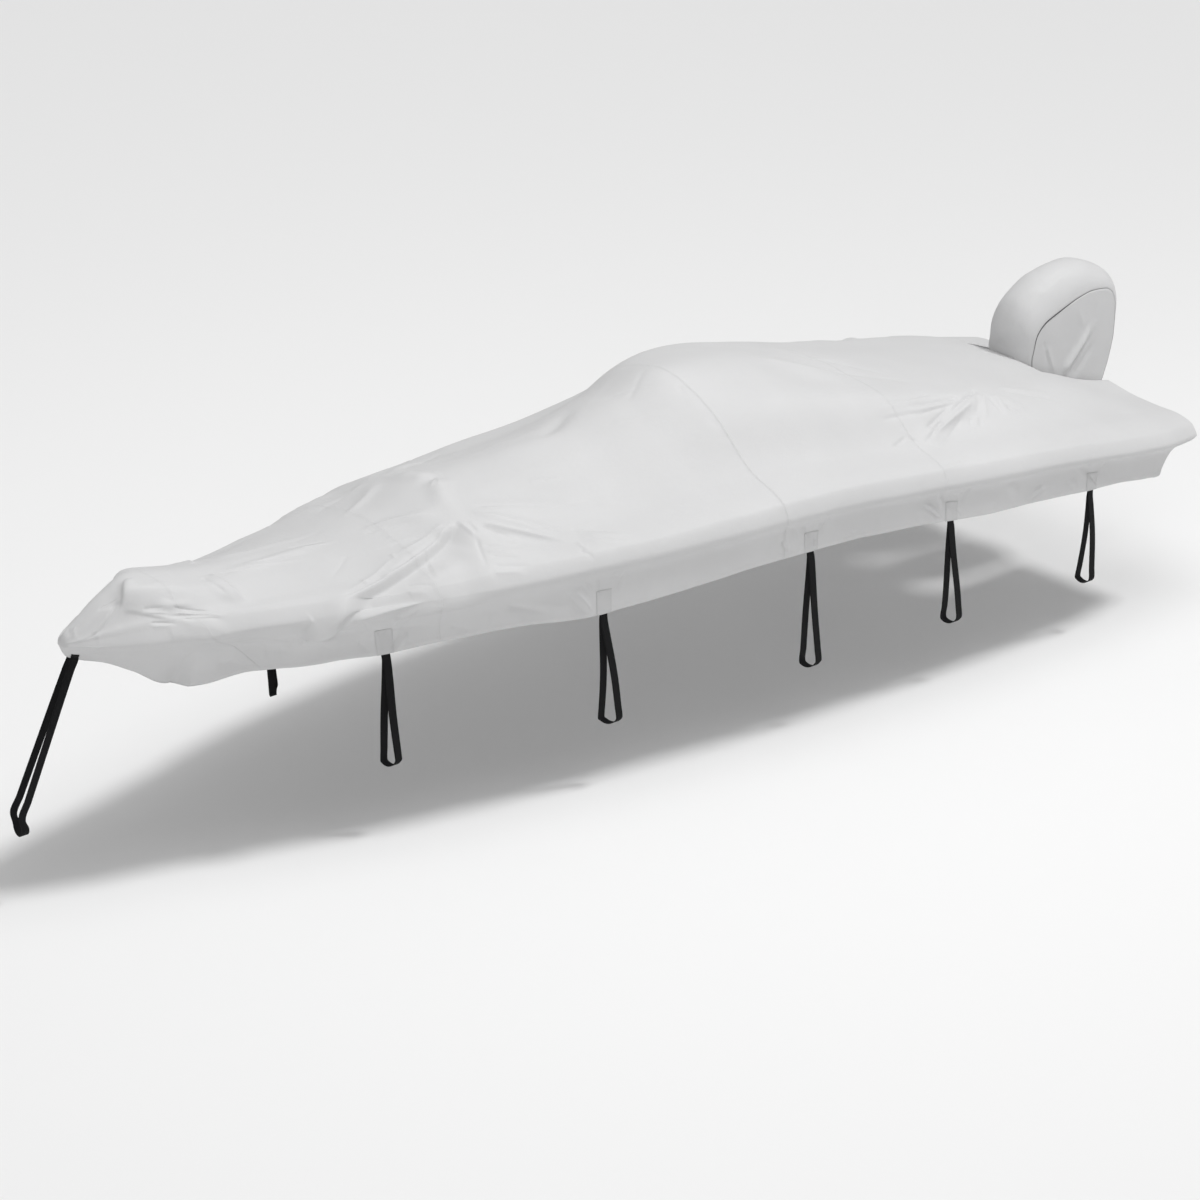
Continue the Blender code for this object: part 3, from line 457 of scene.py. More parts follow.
def fine_creases(x, v):
    """The sum of the finger-wide creases: a crisp ridge less a low, broad one beside it. Each is worked out
    only for the points close to it."""
    around = girth(x)
    s = v * around
    lift = np.zeros_like(x)
    for number, (x0, v0, x1, v1, half_width, height) in enumerate(CREASES):
        mid = girth(np.array([0.5 * (x0 + x1)]))[0]
        for side, change in ((1, AS_DRAWN), (-1, starboard_change(number))):
            moved, wide, share = change
            low = min(side * v0, side * v1) * mid - 0.10
            high = max(side * v0, side * v1) * mid + 0.10
            near = (x > min(x0, x1) + moved - 0.09) & (x < max(x0, x1) + moved + 0.09) & (s > low) & (s < high)
            if not near.any():
                continue
            place = (x[near], s[near], (x0 + moved, side * v0 * around[near]),
                     (x1 + moved, side * v1 * around[near]))
            ridge = fold_lift(*place, 0.85 * wide * half_width, CRISPNESS * height, 0.15, 0.4, True)
            beside = fold_lift(*place, 2.3 * wide * half_width, 0.30 * height, 0.15, 0.4)
            lift[near] += share * (ridge - beside)
    return lift


print("fine creases", len(CREASES))

# %% [markdown]
# Real cloth is nowhere quite flat. Long, low waves run through the slack, short puckers stand across each
# seam where the thread has drawn the cloth in, and the hem swings in and out between its straps. These are
# left to chance, with a fixed seed, so that every run makes the same cover.

# %% Puckers and slack
SEAMS = (-2.914, -1.747, 0.0, 0.93)
# hem x, then x, y, z at the lower end of the outer strand, then x at that of the inner one
STRAPS = (
    (-1.971, -1.943, 0.514, -1.268, -1.989),
    (-0.943, -0.859, 0.747, -1.296, -0.925),
    (0.159, 0.262, 0.841, -1.306, 0.205),
    (0.995, 1.121, 0.887, -1.306, 1.065),
    (1.929, 2.017, 0.887, -1.343, 1.971),
)
PATCH_V = 0.92
HEM_GATHERS = (-2.35, 2.45)
STRAP_GATHERS = ((-0.045, 1), (-0.015, -1), (0.02, 1), (0.05, -1))


def make_puckers(seed):
    """Rows like those of CREASES, with a sign for the side in v: short gathers across the seams, at the hem,
    and spreading up from each strap."""
    chance = np.random.default_rng(seed)
    rows = []
    for side in (-1, 1):
        for seam in SEAMS:
            for place in np.arange(0.10, 0.88, 0.055):
                a = place + chance.uniform(-0.02, 0.02)
                x = float(ring_x(np.array([seam]), np.array([a]))[0])
                before, after = chance.uniform(0.02, 0.05, 2)
                height = chance.uniform(0.0006, 0.0014) * chance.choice((-1, 1))
                tilt = chance.uniform(-0.012, 0.012)
                rows.append((x - before, side * (a - tilt), x + after, side * (a + tilt), 0.010, height))
        x = HEM_GATHERS[0]
        while x < HEM_GATHERS[1]:
            x += chance.uniform(0.07, 0.26)
            reach = chance.uniform(0.03, 0.09)
            lean = chance.uniform(-0.05, 0.05)
            height = chance.uniform(0.0012, 0.0034) * chance.choice((-1, 1))
            rows.append((x + lean, side * (1 - reach), x, side, chance.uniform(0.009, 0.016), height))
        for strap in STRAPS:
            for across, sign in STRAP_GATHERS:
                lean = 1.5 * across + chance.uniform(-0.02, 0.02)
                height = chance.uniform(0.0035, 0.0065) * sign
                top = PATCH_V - chance.uniform(0.05, 0.10)
                foot = strap[0] + across
                rows.append((foot, side * 0.95, foot + lean, side * top, 0.011, height))
    return np.array(rows)


PUCKERS = make_puckers(11)
# radians per metre of x and of s, phase, height
WAVES = ((2.1, 5.3, 0.4, 0.0012), (5.9, 3.1, 1.9, 0.0009), (9.7, -4.3, 3.3, 0.0008), (13.1, 7.9, 5.0, 0.0005),
         (7.3, 10.7, 0.9, 0.0006), (17.9, 2.3, 2.2, 0.0004), (3.7, 14.9, 4.1, 0.0005))
# radians per metre of x, phase, height, of the swing of the hem
FLUTTER = ((11.0, 0.3, 0.0016), (19.0, 2.1, 0.0013), (29.0, 4.4, 0.0008), (7.0, 1.2, 0.0014))
# x, v, reach along x, reach in v, height of the places where the whole cloth stands higher or lower
LEVELS = (
    (-3.29, 0.38, 0.09, 0.20, -0.034), (-3.12, 0.36, 0.10, 0.16, -0.026), (-3.02, 0.33, 0.06, 0.16, -0.026),
    (-2.02, -0.868, 0.58, 0.045, 0.034), (-2.15, -0.955, 0.45, 0.040, -0.010),
    (-0.10, 0.76, 0.34, 0.09, -0.052), (1.30, 0.33, 0.50, 0.15, -0.014), (0.06, 0.35, 0.16, 0.14, 0.018),
)


def bell(t):
    """exp(-t^2): 1 at 0, and nearly 0 from 2 on."""
    return np.exp(-(t ** 2))


def puckers_at(x, v):
    """The sum of the puckers, each worked out only for the points close to it."""
    around = girth(x)
    s = v * around
    lift = np.zeros_like(x)
    for x0, v0, x1, v1, half_width, height in PUCKERS:
        mid = float(girth(np.array([x0]))[0])
        near = (np.abs(x - 0.5 * (x0 + x1)) < 0.12) & (np.abs(s - 0.5 * (v0 + v1) * mid) < 0.20)
        if near.any():
            ends = ((x0, v0 * around[near]), (x1, v1 * around[near]))
            lift[near] += fold_lift(x[near], s[near], *ends, half_width, height, 0.3, 0.3)
    return lift


def slack(x, v):
    """Long low waves over the top, as a sum of sines; a shallow hollow round the skirt under its edge; tight
    faces beside the crest, over the stern and round the nose; and a swing of the skirt that grows to the
    hem."""
    s = v * girth(x)
    waves = sum(height * np.sin(a * x + b * s + phase) for a, b, phase, height in WAVES)
    a = np.abs(v)
    hollow = -0.003 * bell((a - 0.89) / 0.045) * ramp((x + 2.7) / 0.4)
    tight = 0.026 * bell((a - 0.60) / 0.13) * ramp((x + 0.9) / 0.8)
    tight = tight - 0.020 * bell((v + 0.32) / 0.11) * ramp((x - 2.2) / 0.45)
    for x0, v0, long, wide, height in LEVELS:
        tight = tight + height * np.exp(-(((x - x0) / long) ** 2) - ((v - v0) / wide) ** 2)
    at_nose = 1 - ramp((x + 2.92) / 0.16)
    tight = tight + at_nose * (0.008 * bell((a - 0.91) / 0.06) - 0.008 * bell((a - 0.78) / 0.07))
    swing = sum(height * np.sin(b * x + phase + np.where(v > 0, 1.7, 0.0)) for b, phase, height in FLUTTER)
    return waves + hollow + tight + swing * ramp((a - 0.80) / 0.20)


print("puckers", len(PUCKERS))

# %% [markdown]
# ## The skin as one function
#
# A point of the cover is its place on the smooth shape, pushed out along the surface's normal by all that
# lies on it: folds, creases, slack, and the doubled cloth of hems and seams. The normal comes from two close
# neighbours on each side. Past the last ring the cloth turns down and under, at the stern.

# %% Skin
SKIN_START = -3.331
# metres past the stern ring, metres aft, metres inwards
TURN = np.array([(0.0, 0.0, 0.0), (0.0098, 0.009, 0.004), (0.040, 0.012, 0.034), (0.071, 0.011, 0.065)])
CUT_OUT_FRONT, CUT_OUT_SIDE = 2.2065, 0.195
CORNER_PULL = 0.065


def under_stem(x, v):
    """Whether a point is on the line under the nose where the port and starboard sides meet."""
    return (np.abs(v) >= 1 - 1e-9) & (x <= STEM_END + 1e-4)


def smooth_point(ring, v):
    """The point of the smooth shape at ring and v, with the two sides joined under the nose."""
    x = ring_x(ring, v)
    y, z = section(x, v)
    return np.stack([x, np.where(under_stem(x, v), 0.0, y), z], -1)


def outward(ring, v, step=0.003):
    """Unit normal of the smooth shape: the cross product of its slopes along the cover and around it."""
    aft, forward = np.minimum(ring + step, STERN), np.maximum(ring - step, SKIN_START)
    along = smooth_point(aft, v) - smooth_point(forward, v)
    around = smooth_point(ring, np.minimum(v + step, 1.0)) - smooth_point(ring, np.maximum(v - step, -1.0))
    normal = np.cross(along, around)
    return normal / (np.linalg.norm(normal, axis=-1, keepdims=True) + 1e-12)


def turn_in(point, turned):
    """Moves the points that lie turned metres past the stern ring: aft, and in towards the middle of the last
    section and down to its hem, as the cloth turns in."""
    aft = np.interp(turned, TURN[:, 0], TURN[:, 1])
    inward = np.interp(turned, TURN[:, 0], TURN[:, 2])
    hem, ridge, edge = smooth_point(np.full(3, STERN), np.array([-1.0, 0.0, -KNOTS[5]]))
    point[..., 0] += aft
    point[..., 1] *= 1 - inward / -edge[1]
    point[..., 2] = hem[2] + (point[..., 2] - hem[2]) * (1 - inward / (ridge[2] - hem[2]))


def skin(ring, v, proud=0.0):
    """The outer side of the cover at ring and v, and proud metres above it: the smooth point, plus the normal
    times the sum of all lifts. The lower corners at the stern are pulled forward by CORNER_PULL."""
    inside = np.clip(ring, SKIN_START, STERN)
    point = smooth_point(inside, v)
    normal = outward(inside, v)
    x = point[..., 0]
    calm = ramp((x - FIRST_X) / 0.05)
    lift = broad_folds(x, v) + calm * (fine_creases(x, v) + puckers_at(x, v) + slack(x, v))
    lift = np.where(under_stem(x, v), 0.0, lift)
    point = point + normal * (lift + proud)[..., None]
    point[..., 0] -= CORNER_PULL * ramp((inside - 2.42) / 0.30) * ramp((np.abs(v) - 0.80) / 0.19)
    turned = np.clip(ring - STERN, 0, None)
    if turned.max() > 0:
        turn_in(point, turned)
    return point, normal


check, _ = skin(np.array([0.0]), np.array([0.0]))
print("crest", check.round(4).tolist())

# %% [markdown]
# ## Cloth and webbing
#
# The cover cloth is a pale grey coated polyester: matt, with a slight sheen at a grazing view and a weave of
# about a millimetre. The weave follows the cloth, so it reads a UV map laid out in metres of cloth. The
# stitching reads two numbers that each point carries: how far it is from the nearest row of stitches, and how
# far along that row it is. The webbing is a herringbone of ribs, nearly black. Both could be photographs of
# cloth, but sums of sines stay sharp from any distance.

# %% Node helpers
THREADS_PER_METRE, RIBS_PER_METRE = 900, 620


def wire(tree, kind, settings=None, **inputs):
    """Adds a node, sets its properties, and gives each input a value or the socket that feeds it. i0 is the
    first input, and other inputs go by their names."""
    node = tree.nodes.new(kind)
    for name, value in (settings or {}).items():
        setattr(node, name, value)
    for name, value in inputs.items():
        socket = node.inputs[int(name[1:])] if name[0] == "i" and name[1:].isdigit() else node.inputs[name]
        if isinstance(value, bpy.types.NodeSocket):
            tree.links.new(value, socket)
        else:
            socket.default_value = value
    return node


def maths(tree, operation, *values):
    """The result of one arithmetic node."""
    inputs = {f"i{place}": value for place, value in enumerate(values)}
    return wire(tree, "ShaderNodeMath", {"operation": operation}, **inputs).outputs[0]


def remap(tree, value, low, high, at_low, at_high, way="LINEAR"):
    """at_low where value is low, at_high where it is high, and a straight or smooth way between."""
    return wire(tree, "ShaderNodeMapRange", {"interpolation_type": way}, i0=value, i1=low, i2=high, i3=at_low,
                i4=at_high).outputs[0]


def sine_of(tree, value, per_metre):
    """sin(2 pi per_metre value), one full wave for each thread pair."""
    return maths(tree, "SINE", maths(tree, "MULTIPLY", value, 2 * math.pi * per_metre))


def fabric(name, roughness, shine, sheen):
    """A new material: its tree and shader, the point in space, and the point on the cloth in metres."""
    material = bpy.data.materials.new(name)
    material.use_nodes = True
    tree = material.node_tree
    shader = tree.nodes["Principled BSDF"]
    shader.inputs["Roughness"].default_value = roughness
    shader.inputs["Specular IOR Level"].default_value = shine
    shader.inputs["Sheen Weight"].default_value = sheen
    shader.inputs["Sheen Roughness"].default_value = 0.5
    place = wire(tree, "ShaderNodeTexCoord").outputs["Object"]
    cut = wire(tree, "ShaderNodeUVMap", {"uv_map": "cut"}).outputs["UV"]
    split = wire(tree, "ShaderNodeSeparateXYZ", i0=cut)
    return material, tree, shader, place, split.outputs[0], split.outputs[1]


def colour_and_bump(tree, shader, colour, tone, height):
    """Gives the shader colour times tone, and a surface that stands height metres high."""
    tinted = wire(tree, "ShaderNodeVectorMath", {"operation": "SCALE"}, i0=colour, Scale=tone)
    bump = wire(tree, "ShaderNodeBump", Strength=1.0, Distance=1.0, Height=height)
    tree.links.new(tinted.outputs["Vector"], shader.inputs["Base Color"])
    tree.links.new(bump.outputs["Normal"], shader.inputs["Normal"])


print("threads per metre", THREADS_PER_METRE, "ribs per metre", RIBS_PER_METRE)

# %% Two fabrics
# metres of a stitch with its gap, of the stitch alone, and between the turns of the ribs
STITCH_EVERY, STITCH_LENGTH, RIB_TURN = 0.0045, 0.0033, 0.0048


def cloth_material(name, colour, roughness):
    """Coated polyester: grey with faint clouds, a plain weave, sunk stitch rows, and painted shade in their
    grooves.
    """
    material, tree, shader, place, along, around = fabric(name, roughness, 0.35, 0.12)
    warp = sine_of(tree, along, THREADS_PER_METRE)
    weft = sine_of(tree, around, THREADS_PER_METRE)
    weave = maths(tree, "MULTIPLY", warp, weft)

    line = wire(tree, "ShaderNodeAttribute", {"attribute_name": "line"}).outputs["Fac"]
    run = wire(tree, "ShaderNodeAttribute", {"attribute_name": "run"}).outputs["Fac"]
    off = maths(tree, "ABSOLUTE", line)
    groove = remap(tree, off, 0.0, 0.0018, 1.0, 0.0, "SMOOTHSTEP")
    thread = remap(tree, off, 0.0004, 0.0009, 1.0, 0.0, "SMOOTHSTEP")
    on = maths(tree, "LESS_THAN", maths(tree, "WRAP", run, STITCH_EVERY, 0.0), STITCH_LENGTH)
    stitch = maths(tree, "MULTIPLY", thread, on)

    clouds = wire(tree, "ShaderNodeTexNoise", Vector=place, Scale=1.6, Detail=4.0, Roughness=0.55)
    tone = remap(tree, clouds.outputs["Fac"], 0.3, 0.7, 0.965, 1.03)
    # painted shade: the cloth is 1.8% darker along each stitch groove
    tone = maths(tree, "SUBTRACT", tone, maths(tree, "MULTIPLY", groove, 0.018))
    tone = maths(tree, "MULTIPLY_ADD", weave, 0.02, tone)

    crinkle = wire(tree, "ShaderNodeTexNoise", Vector=place, Scale=22.0, Detail=3.0, Roughness=0.6,
                   Distortion=0.6)
    height = maths(tree, "MULTIPLY", weave, 0.00005)
    height = maths(tree, "MULTIPLY_ADD", groove, -0.00012, height)
    height = maths(tree, "MULTIPLY_ADD", stitch, 0.0004, height)
    height = maths(tree, "MULTIPLY_ADD", crinkle.outputs["Fac"], 0.0010, height)
    colour_and_bump(tree, shader, colour, tone, height)
    return material


def webbing_material(name, colour):
    """Black polypropylene tape: a herringbone of fine ribs along it, whose slant turns at every RIB_TURN
    across the tape."""
    material, tree, shader, place, along, around = fabric(name, 0.75, 0.15, 0.02)
    slant = maths(tree, "ADD", along, maths(tree, "PINGPONG", around, RIB_TURN))
    rib = sine_of(tree, slant, RIBS_PER_METRE)
    wear = wire(tree, "ShaderNodeTexNoise", Vector=place, Scale=30.0, Detail=2.0)
    tone = maths(tree, "MULTIPLY_ADD", wear.outputs["Fac"], 0.6, remap(tree, rib, -1.0, 1.0, 0.7, 1.5))
    colour_and_bump(tree, shader, colour, tone, maths(tree, "MULTIPLY", rib, 0.00012))
    return material


CLOTH_GREY = (0.58, 0.58, 0.583)
# the patches are the same cloth as the cover, and their darker grey is painted shade
PATCH_PAINTED_SHADE_GREY = (0.53, 0.53, 0.533)
WEBBING_BLACK = (0.004, 0.004, 0.0045)
cover_cloth = cloth_material("cover_cloth", CLOTH_GREY, 0.62)
patch_cloth_painted_shade = cloth_material("patch_cloth_painted_shade", PATCH_PAINTED_SHADE_GREY, 0.66)
strap_webbing = webbing_material("strap_webbing", WEBBING_BLACK)
print("materials", cover_cloth.name, strap_webbing.name)

# %% [markdown]
# ## Cutting the skin into panels
#
# Each panel is a piece of the skin between two seams. A grid is laid over it, finer where the creases are and
# where the cloth is doubled, and coarser on the far side. The forward panel of each seam laps 14 mm over the
# next one and is a little higher there, with two rows of stitches, as on a felled seam. The hem is folded
# double.

# %% Laying out a grid
# thickness, width of a seam's lap and of the folded hem, and the stitch rows' distances from them, in metres
CLOTH, LAP, HEM_FOLD = 0.0016, 0.014, 0.026
SEAM_ROWS, HEM_ROW = (0.003, 0.011), 0.021
# how much higher the doubled cloth lies, how soon it gets there at a seam, and a distance that has no stitches
LAP_LIFT, HEM_LIFT, LAP_CLIMB, FAR = 0.0006, 0.0009, 0.012, 1.0
PANEL_ENDS = {
    "nose_panel": (SKIN_START, SEAMS[0]),
    "fore_panel": (SEAMS[0], SEAMS[1]),
    "mid_panel": (SEAMS[1], SEAMS[2]),
    "aft_panel": (SEAMS[2], SEAMS[3]),
    "stern_panel": (SEAMS[3], STERN + TURN[-1, 0]),
}


def spaced(start, end, spacing, forced=()):
    """Places from start to end, as close together as spacing(place) says, plus the forced ones. The count of
    steps up to a place is the sum of 1 / spacing, and the places are where that count is whole."""
    fine = np.linspace(start, end, 6000)
    count = np.concatenate([[0], np.cumsum(np.diff(fine) / spacing(0.5 * (fine[1:] + fine[:-1])))])
    total = max(2, int(round(count[-1])))
    places = np.interp(np.linspace(0, count[-1], total + 1), count, fine)
    for place in forced:
        if start < place < end:
            places[1 + np.argmin(np.abs(places[1:-1] - place))] = place
    return np.unique(places)


def near_any(places, centres, reach):
    """1 at the centres, falling to 0 within reach of them."""
    gap = np.min(np.abs(np.subtract.outer(places, np.array(centres))), axis=-1)
    return 1 - ramp(gap / reach)


def arc_lengths(grid, axis):
    """Metres along the grid from its first row or column."""
    steps = np.linalg.norm(np.diff(grid, axis=axis), axis=-1)
    first = np.zeros_like(np.take(steps, [0], axis=axis))
    return np.concatenate([first, np.cumsum(steps, axis=axis)], axis=axis)


print("panels to cut", ", ".join(PANEL_ENDS))

# %% A sheet from a grid
def grid_faces(rows, columns):
    """The quads of a grid of points, row by row. Each takes a point, the one below it, the one across from it
    and the one to its right."""
    first = np.arange(rows * columns).reshape(rows, columns)[:-1, :-1].ravel()
    return np.stack([first, first + columns, first + columns + 1, first + 1], 1)


def merged(points, faces, decimals=6):
    """Faces whose corners are the first of all points in the same place, with flat ones dropped and quads
    that lost a corner made triangles."""
    _, first, index = np.unique(np.round(points, decimals), axis=0, return_index=True, return_inverse=True)
    faces = first[index.reshape(-1)[faces]]
    kept = faces != np.roll(faces, -1, axis=1)
    whole = kept.all(axis=1)
    three = kept.sum(axis=1) == 3
    triangles = faces[three][kept[three]].reshape(-1, 3)
    return faces[whole].tolist() + triangles.tolist()


def smooth_mesh(name, points, faces, material):
    """A mesh that is shaded smooth, in one material."""
    mesh = bpy.data.meshes.new(name)
    mesh.from_pydata(points.tolist(), [], faces)
    mesh.polygons.foreach_set("use_smooth", np.ones(len(mesh.polygons), bool))
    mesh.materials.append(material)
    mesh.update()
    return mesh


def cloth_piece(name, grid, cut, line, run, material, thickness=CLOTH, keep=None, merge=False):
    """A sheet from a grid of points: quads with the cut-out cells left out, a UV map in metres of cloth, the
    stitch numbers on its points, and Solidify for its thickness, inwards."""
    faces = grid_faces(*grid.shape[:2])
    if keep is not None:
        faces = faces[keep.ravel()]
    points = grid.reshape(-1, 3)
    faces = merged(points, faces) if merge else faces.tolist()
    used = np.unique([corner for face in faces for corner in face])
    renumber = np.full(len(points), -1)
    renumber[used] = np.arange(len(used))
    mesh = smooth_mesh(name, points[used], [renumber[face].tolist() for face in faces], material)
    corners = np.empty(len(mesh.loops), np.int32)
    mesh.loops.foreach_get("vertex_index", corners)
    uv = mesh.uv_layers.new(name="cut")
    uv.data.foreach_set("uv", cut.reshape(-1, 2)[used][corners].astype(np.float32).ravel())
    for label, values in (("line", line), ("run", run)):
        attribute = mesh.attributes.new(label, "FLOAT", "POINT")
        attribute.data.foreach_set("value", values.ravel()[used].astype(np.float32))
    piece = link(name, mesh)
    wall = piece.modifiers.new("cloth", "SOLIDIFY")
    wall.thickness, wall.offset = thickness, -1.0
    return piece


print("faces of a grid of 2 by 3 points", grid_faces(2, 3).tolist())

# %% Stitch rows, laps and hems
def nearest_row(*rows):
    """Of several (distance, metres along) pairs, the one whose distance is least, at each point."""
    distance = np.stack([np.broadcast_to(r[0], rows[0][0].shape) for r in rows])
    along = np.stack([np.broadcast_to(r[1], rows[0][0].shape) for r in rows])
    pick = np.argmin(np.abs(distance), axis=0)[None]
    return np.take_along_axis(distance, pick, 0)[0], np.take_along_axis(along, pick, 0)[0]


def hem_step(from_hem):
    """1 where the cloth is folded double at the hem, and 0 beyond."""
    return 1 - ramp((from_hem - HEM_FOLD) / 0.003)


def lap_lift(ring, seam_after):
    """How proud a panel stands: it climbs over its neighbour at its aft seam. Where the neighbour laps over
    it, at its forward seam, it stays down."""
    if seam_after is None:
        return np.zeros_like(ring)
    return LAP_LIFT * ramp((ring - seam_after + LAP_CLIMB) / LAP_CLIMB)


def metres_around(ring, v):
    """Metres of cloth around from the ridge, with the sign of v, and from the ridge to the hem."""
    flat, _ = skin(ring, v)
    around = arc_lengths(flat, 1)
    middle = int(np.argmin(np.abs(v[0])))
    around -= around[:, middle:middle + 1]
    return around, np.where(v < 0, -around[:, :1], around[:, -1:])


def cut_out_rows(ring, v, half):
    """Distances to the stitch rows in front of the cut-out and beside it, FAR where they don't run."""
    in_front = np.where(np.abs(v) < CUT_OUT_SIDE, ring - CUT_OUT_FRONT + HEM_ROW, FAR)
    beside = np.abs(v) * half - CUT_OUT_SIDE * half - HEM_ROW
    return in_front, np.where(ring > CUT_OUT_FRONT - HEM_ROW, beside, FAR)


def outside_cut_out(ring, v):
    """Which cells of the grid are kept: all but those whose middle is in the cut-out."""
    across = np.abs(0.5 * (v[:-1, :-1] + v[:-1, 1:])) < CUT_OUT_SIDE
    aft = 0.5 * (ring[:-1, :-1] + ring[1:, :-1]) > CUT_OUT_FRONT
    return ~(across & aft)


print("hem step 0, 27 and 30 mm from the hem", hem_step(np.array([0.0, 0.027, 0.030])).round(2).tolist())

# %% Sewing a panel
def panel_grid(start, before, after, end, spacing, around_spacing):
    """ring and v of a panel's points, with rows and columns forced to its seams, its turn and its cut-out."""
    last = end if after is None else end + LAP
    forced = [CUT_OUT_FRONT, *(STERN + TURN[:-1, 0])]
    if after is not None:
        forced += [after - LAP_CLIMB, after - 0.001] + [after + row for row in SEAM_ROWS]
    if before is not None:
        forced += [before + row for row in SEAM_ROWS] + [before + LAP]
    ring = spaced(start, last, spacing, forced)
    v = spaced(-1.0, 1.0, around_spacing, (-CUT_OUT_SIDE, 0.0, CUT_OUT_SIDE))
    return np.meshgrid(ring, v, indexing="ij")


def sewn_panel(name, spacing, around_spacing):
    """One panel of the cover, from its two ends in PANEL_ENDS."""
    start, end = PANEL_ENDS[name]
    before = None if name == "nose_panel" else start
    after = None if name == "stern_panel" else end
    ring, v = panel_grid(start, before, after, end, spacing, around_spacing)
    around, half = metres_around(ring, v)
    along = ring - start
    open_hem = ring_x(ring, np.sign(v) + (v == 0)) > STEM_END
    from_hem = np.where(open_hem, half - np.abs(around), FAR)
    rows = [(from_hem - HEM_ROW, along)]
    for seam in (before, after):
        if seam is not None:
            rows += [(ring - seam - row, around) for row in SEAM_ROWS]
    keep = None
    if name == "stern_panel":
        in_front, beside = cut_out_rows(ring, v, half)
        rows += [(in_front, around), (beside, along)]
        keep = outside_cut_out(ring, v)
    line, run = nearest_row(*rows)
    grid, _ = skin(ring, v, lap_lift(ring, after) + HEM_LIFT * hem_step(from_hem) * ramp(from_hem / 0.002))
    if name == "nose_panel":
        tip = np.broadcast_to(np.array(NOSE_TIP), grid[:1].shape)
        grid = np.concatenate([tip, grid])
        along, around, line, run = (np.concatenate([a[:1], a]) for a in (along, around, line, run))
    cut = np.stack([along, around], -1)
    return cloth_piece(name, grid, cut, line, run, cover_cloth, keep=keep, merge=name == "nose_panel")


def report(piece):
    """Prints how many faces a piece has, and hands it back."""
    print(piece.name, len(piece.data.polygons), "faces")
    return piece


print("rows of stitches at a seam", len(SEAM_ROWS))

# %% [markdown]
# The creases are crowded round two places on the port side, so the rings are a few millimetres apart there
# and more elsewhere, and the columns are close together on that side.

# %% Panels
def fineness(base, rich, centres, reach):
    """A spacing for spaced(): base metres, rich metres near the centres, and 3 mm at a seam."""
    def at(places):
        """base, drawn towards rich by near_any at the centres, and towards 3 mm at the seams."""
        usual = base + (rich - base) * near_any(places, centres, reach)
        return usual + (0.003 - usual) * near_any(places, SEAMS + (STERN,), 0.03)
    return at


def around_fineness(half_length, port, starboard):
    """The same around the section: metres of cloth turned into v, finer at the hems and on the port side."""
    def at(v):
        """port or starboard metres, less at the top's edge, drawn towards 5 mm at the hems, turned into v."""
        usual = np.where(v < 0.05, port, starboard)
        hems = near_any(v, (-1.0, 1.0), 0.05 / half_length)
        edge = near_any(v, (-0.77, 0.77), 0.08)
        usual = usual * (1 - 0.3 * edge)
        return (usual + (0.005 - usual) * hems) / half_length
    return at


LAYOUT = {
    "nose_panel": (fineness(0.0060, 0.0045, (-3.30,), 0.05), around_fineness(0.62, 0.0055, 0.0085)),
    "fore_panel": (fineness(0.0075, 0.0056, (-2.36, -1.85), 0.25), around_fineness(0.95, 0.0056, 0.0130)),
    "mid_panel": (fineness(0.0130, 0.0068, (-1.40, -1.15), 0.50), around_fineness(1.35, 0.0079, 0.0190)),
    "aft_panel": (fineness(0.0100, 0.0065, (0.93,), 0.40), around_fineness(1.40, 0.0080, 0.0180)),
    "stern_panel": (fineness(0.0140, 0.0062, (1.25,), 0.45), around_fineness(1.35, 0.0068, 0.0200)),
}
panels = {name: report(sewn_panel(name, *layout)) for name, layout in LAYOUT.items()}

# %% [markdown]
# ## Patches
#
# Where a strap is fixed, a square of the same cloth is sewn over the skirt to spread its pull. It lies on the
# skin, so it is cut from the same function, a patch's thickness higher, with a box of stitches round its
# edge.

# %% Patches
# The patches take a darker copy of the cover cloth, as painted shade.
PATCH_HALF, PATCH_CLOTH, PATCH_ROW = 0.0375, 0.0009, 0.005
SIDES = ((-1, "port"), (1, "starboard"))


def ring_for_hem(x_hem):
    """The ring that meets the hem at x_hem: LEAN read the other way round."""
    return np.interp(x_hem, LEAN[:, 1], LEAN[:, 0])


def sewn_patch(name, hem_x, side):
    """A patch on the skin from the hem up to PATCH_V. Its edge is pressed down by 0.4 mm."""
    ring = ring_for_hem(hem_x + np.linspace(-PATCH_HALF, PATCH_HALF, 25))
    v = side * np.linspace(PATCH_V, 1.0, 31)
    ring, v = np.meshgrid(ring, v, indexing="ij")
    flat, _ = skin(ring, v)
    along, around = arc_lengths(flat, 0), arc_lengths(flat, 1)
    over_hem = HEM_LIFT * hem_step(around[:, -1:] - around)
    across_edge = np.minimum(along, along[-1:] - along)
    height_edge = np.minimum(around, around[:, -1:] - around)
    edge = np.minimum(across_edge, height_edge)
    grid, _ = skin(ring, v, 0.0003 + PATCH_CLOTH + over_hem - 0.0004 * (1 - ramp(edge / 0.0035)))
    run = np.where(across_edge < height_edge, around, along)
    cut = np.stack([along, around], -1)
    return cloth_piece(name, grid, cut, edge - PATCH_ROW, run, patch_cloth_painted_shade, PATCH_CLOTH)


patches = {}
for number, strap in enumerate(STRAPS, 1):
    for side, word in SIDES:
        patches[f"patch_{word}_{number}"] = sewn_patch(f"patch_{word}_{number}", strap[0], side)
print("patches", len(patches))

# %% [markdown]
# ## Straps
#
# A tie-down is one length of flat webbing. It starts behind the patch, hangs from the hem, turns under in a
# round bend and comes back up inside. So it is built as it is sewn: rows of points across the tape, first on
# the inner side of the skirt, then down each strand and round the bend, with a smooth curve through them.

# %% Webbing
WEBBING, STRAP_HALF, STRAND_GAP, LOOP_RADIUS = 0.0016, 0.019, 0.001, 0.026
STRAP_DEPTH = 0.0045
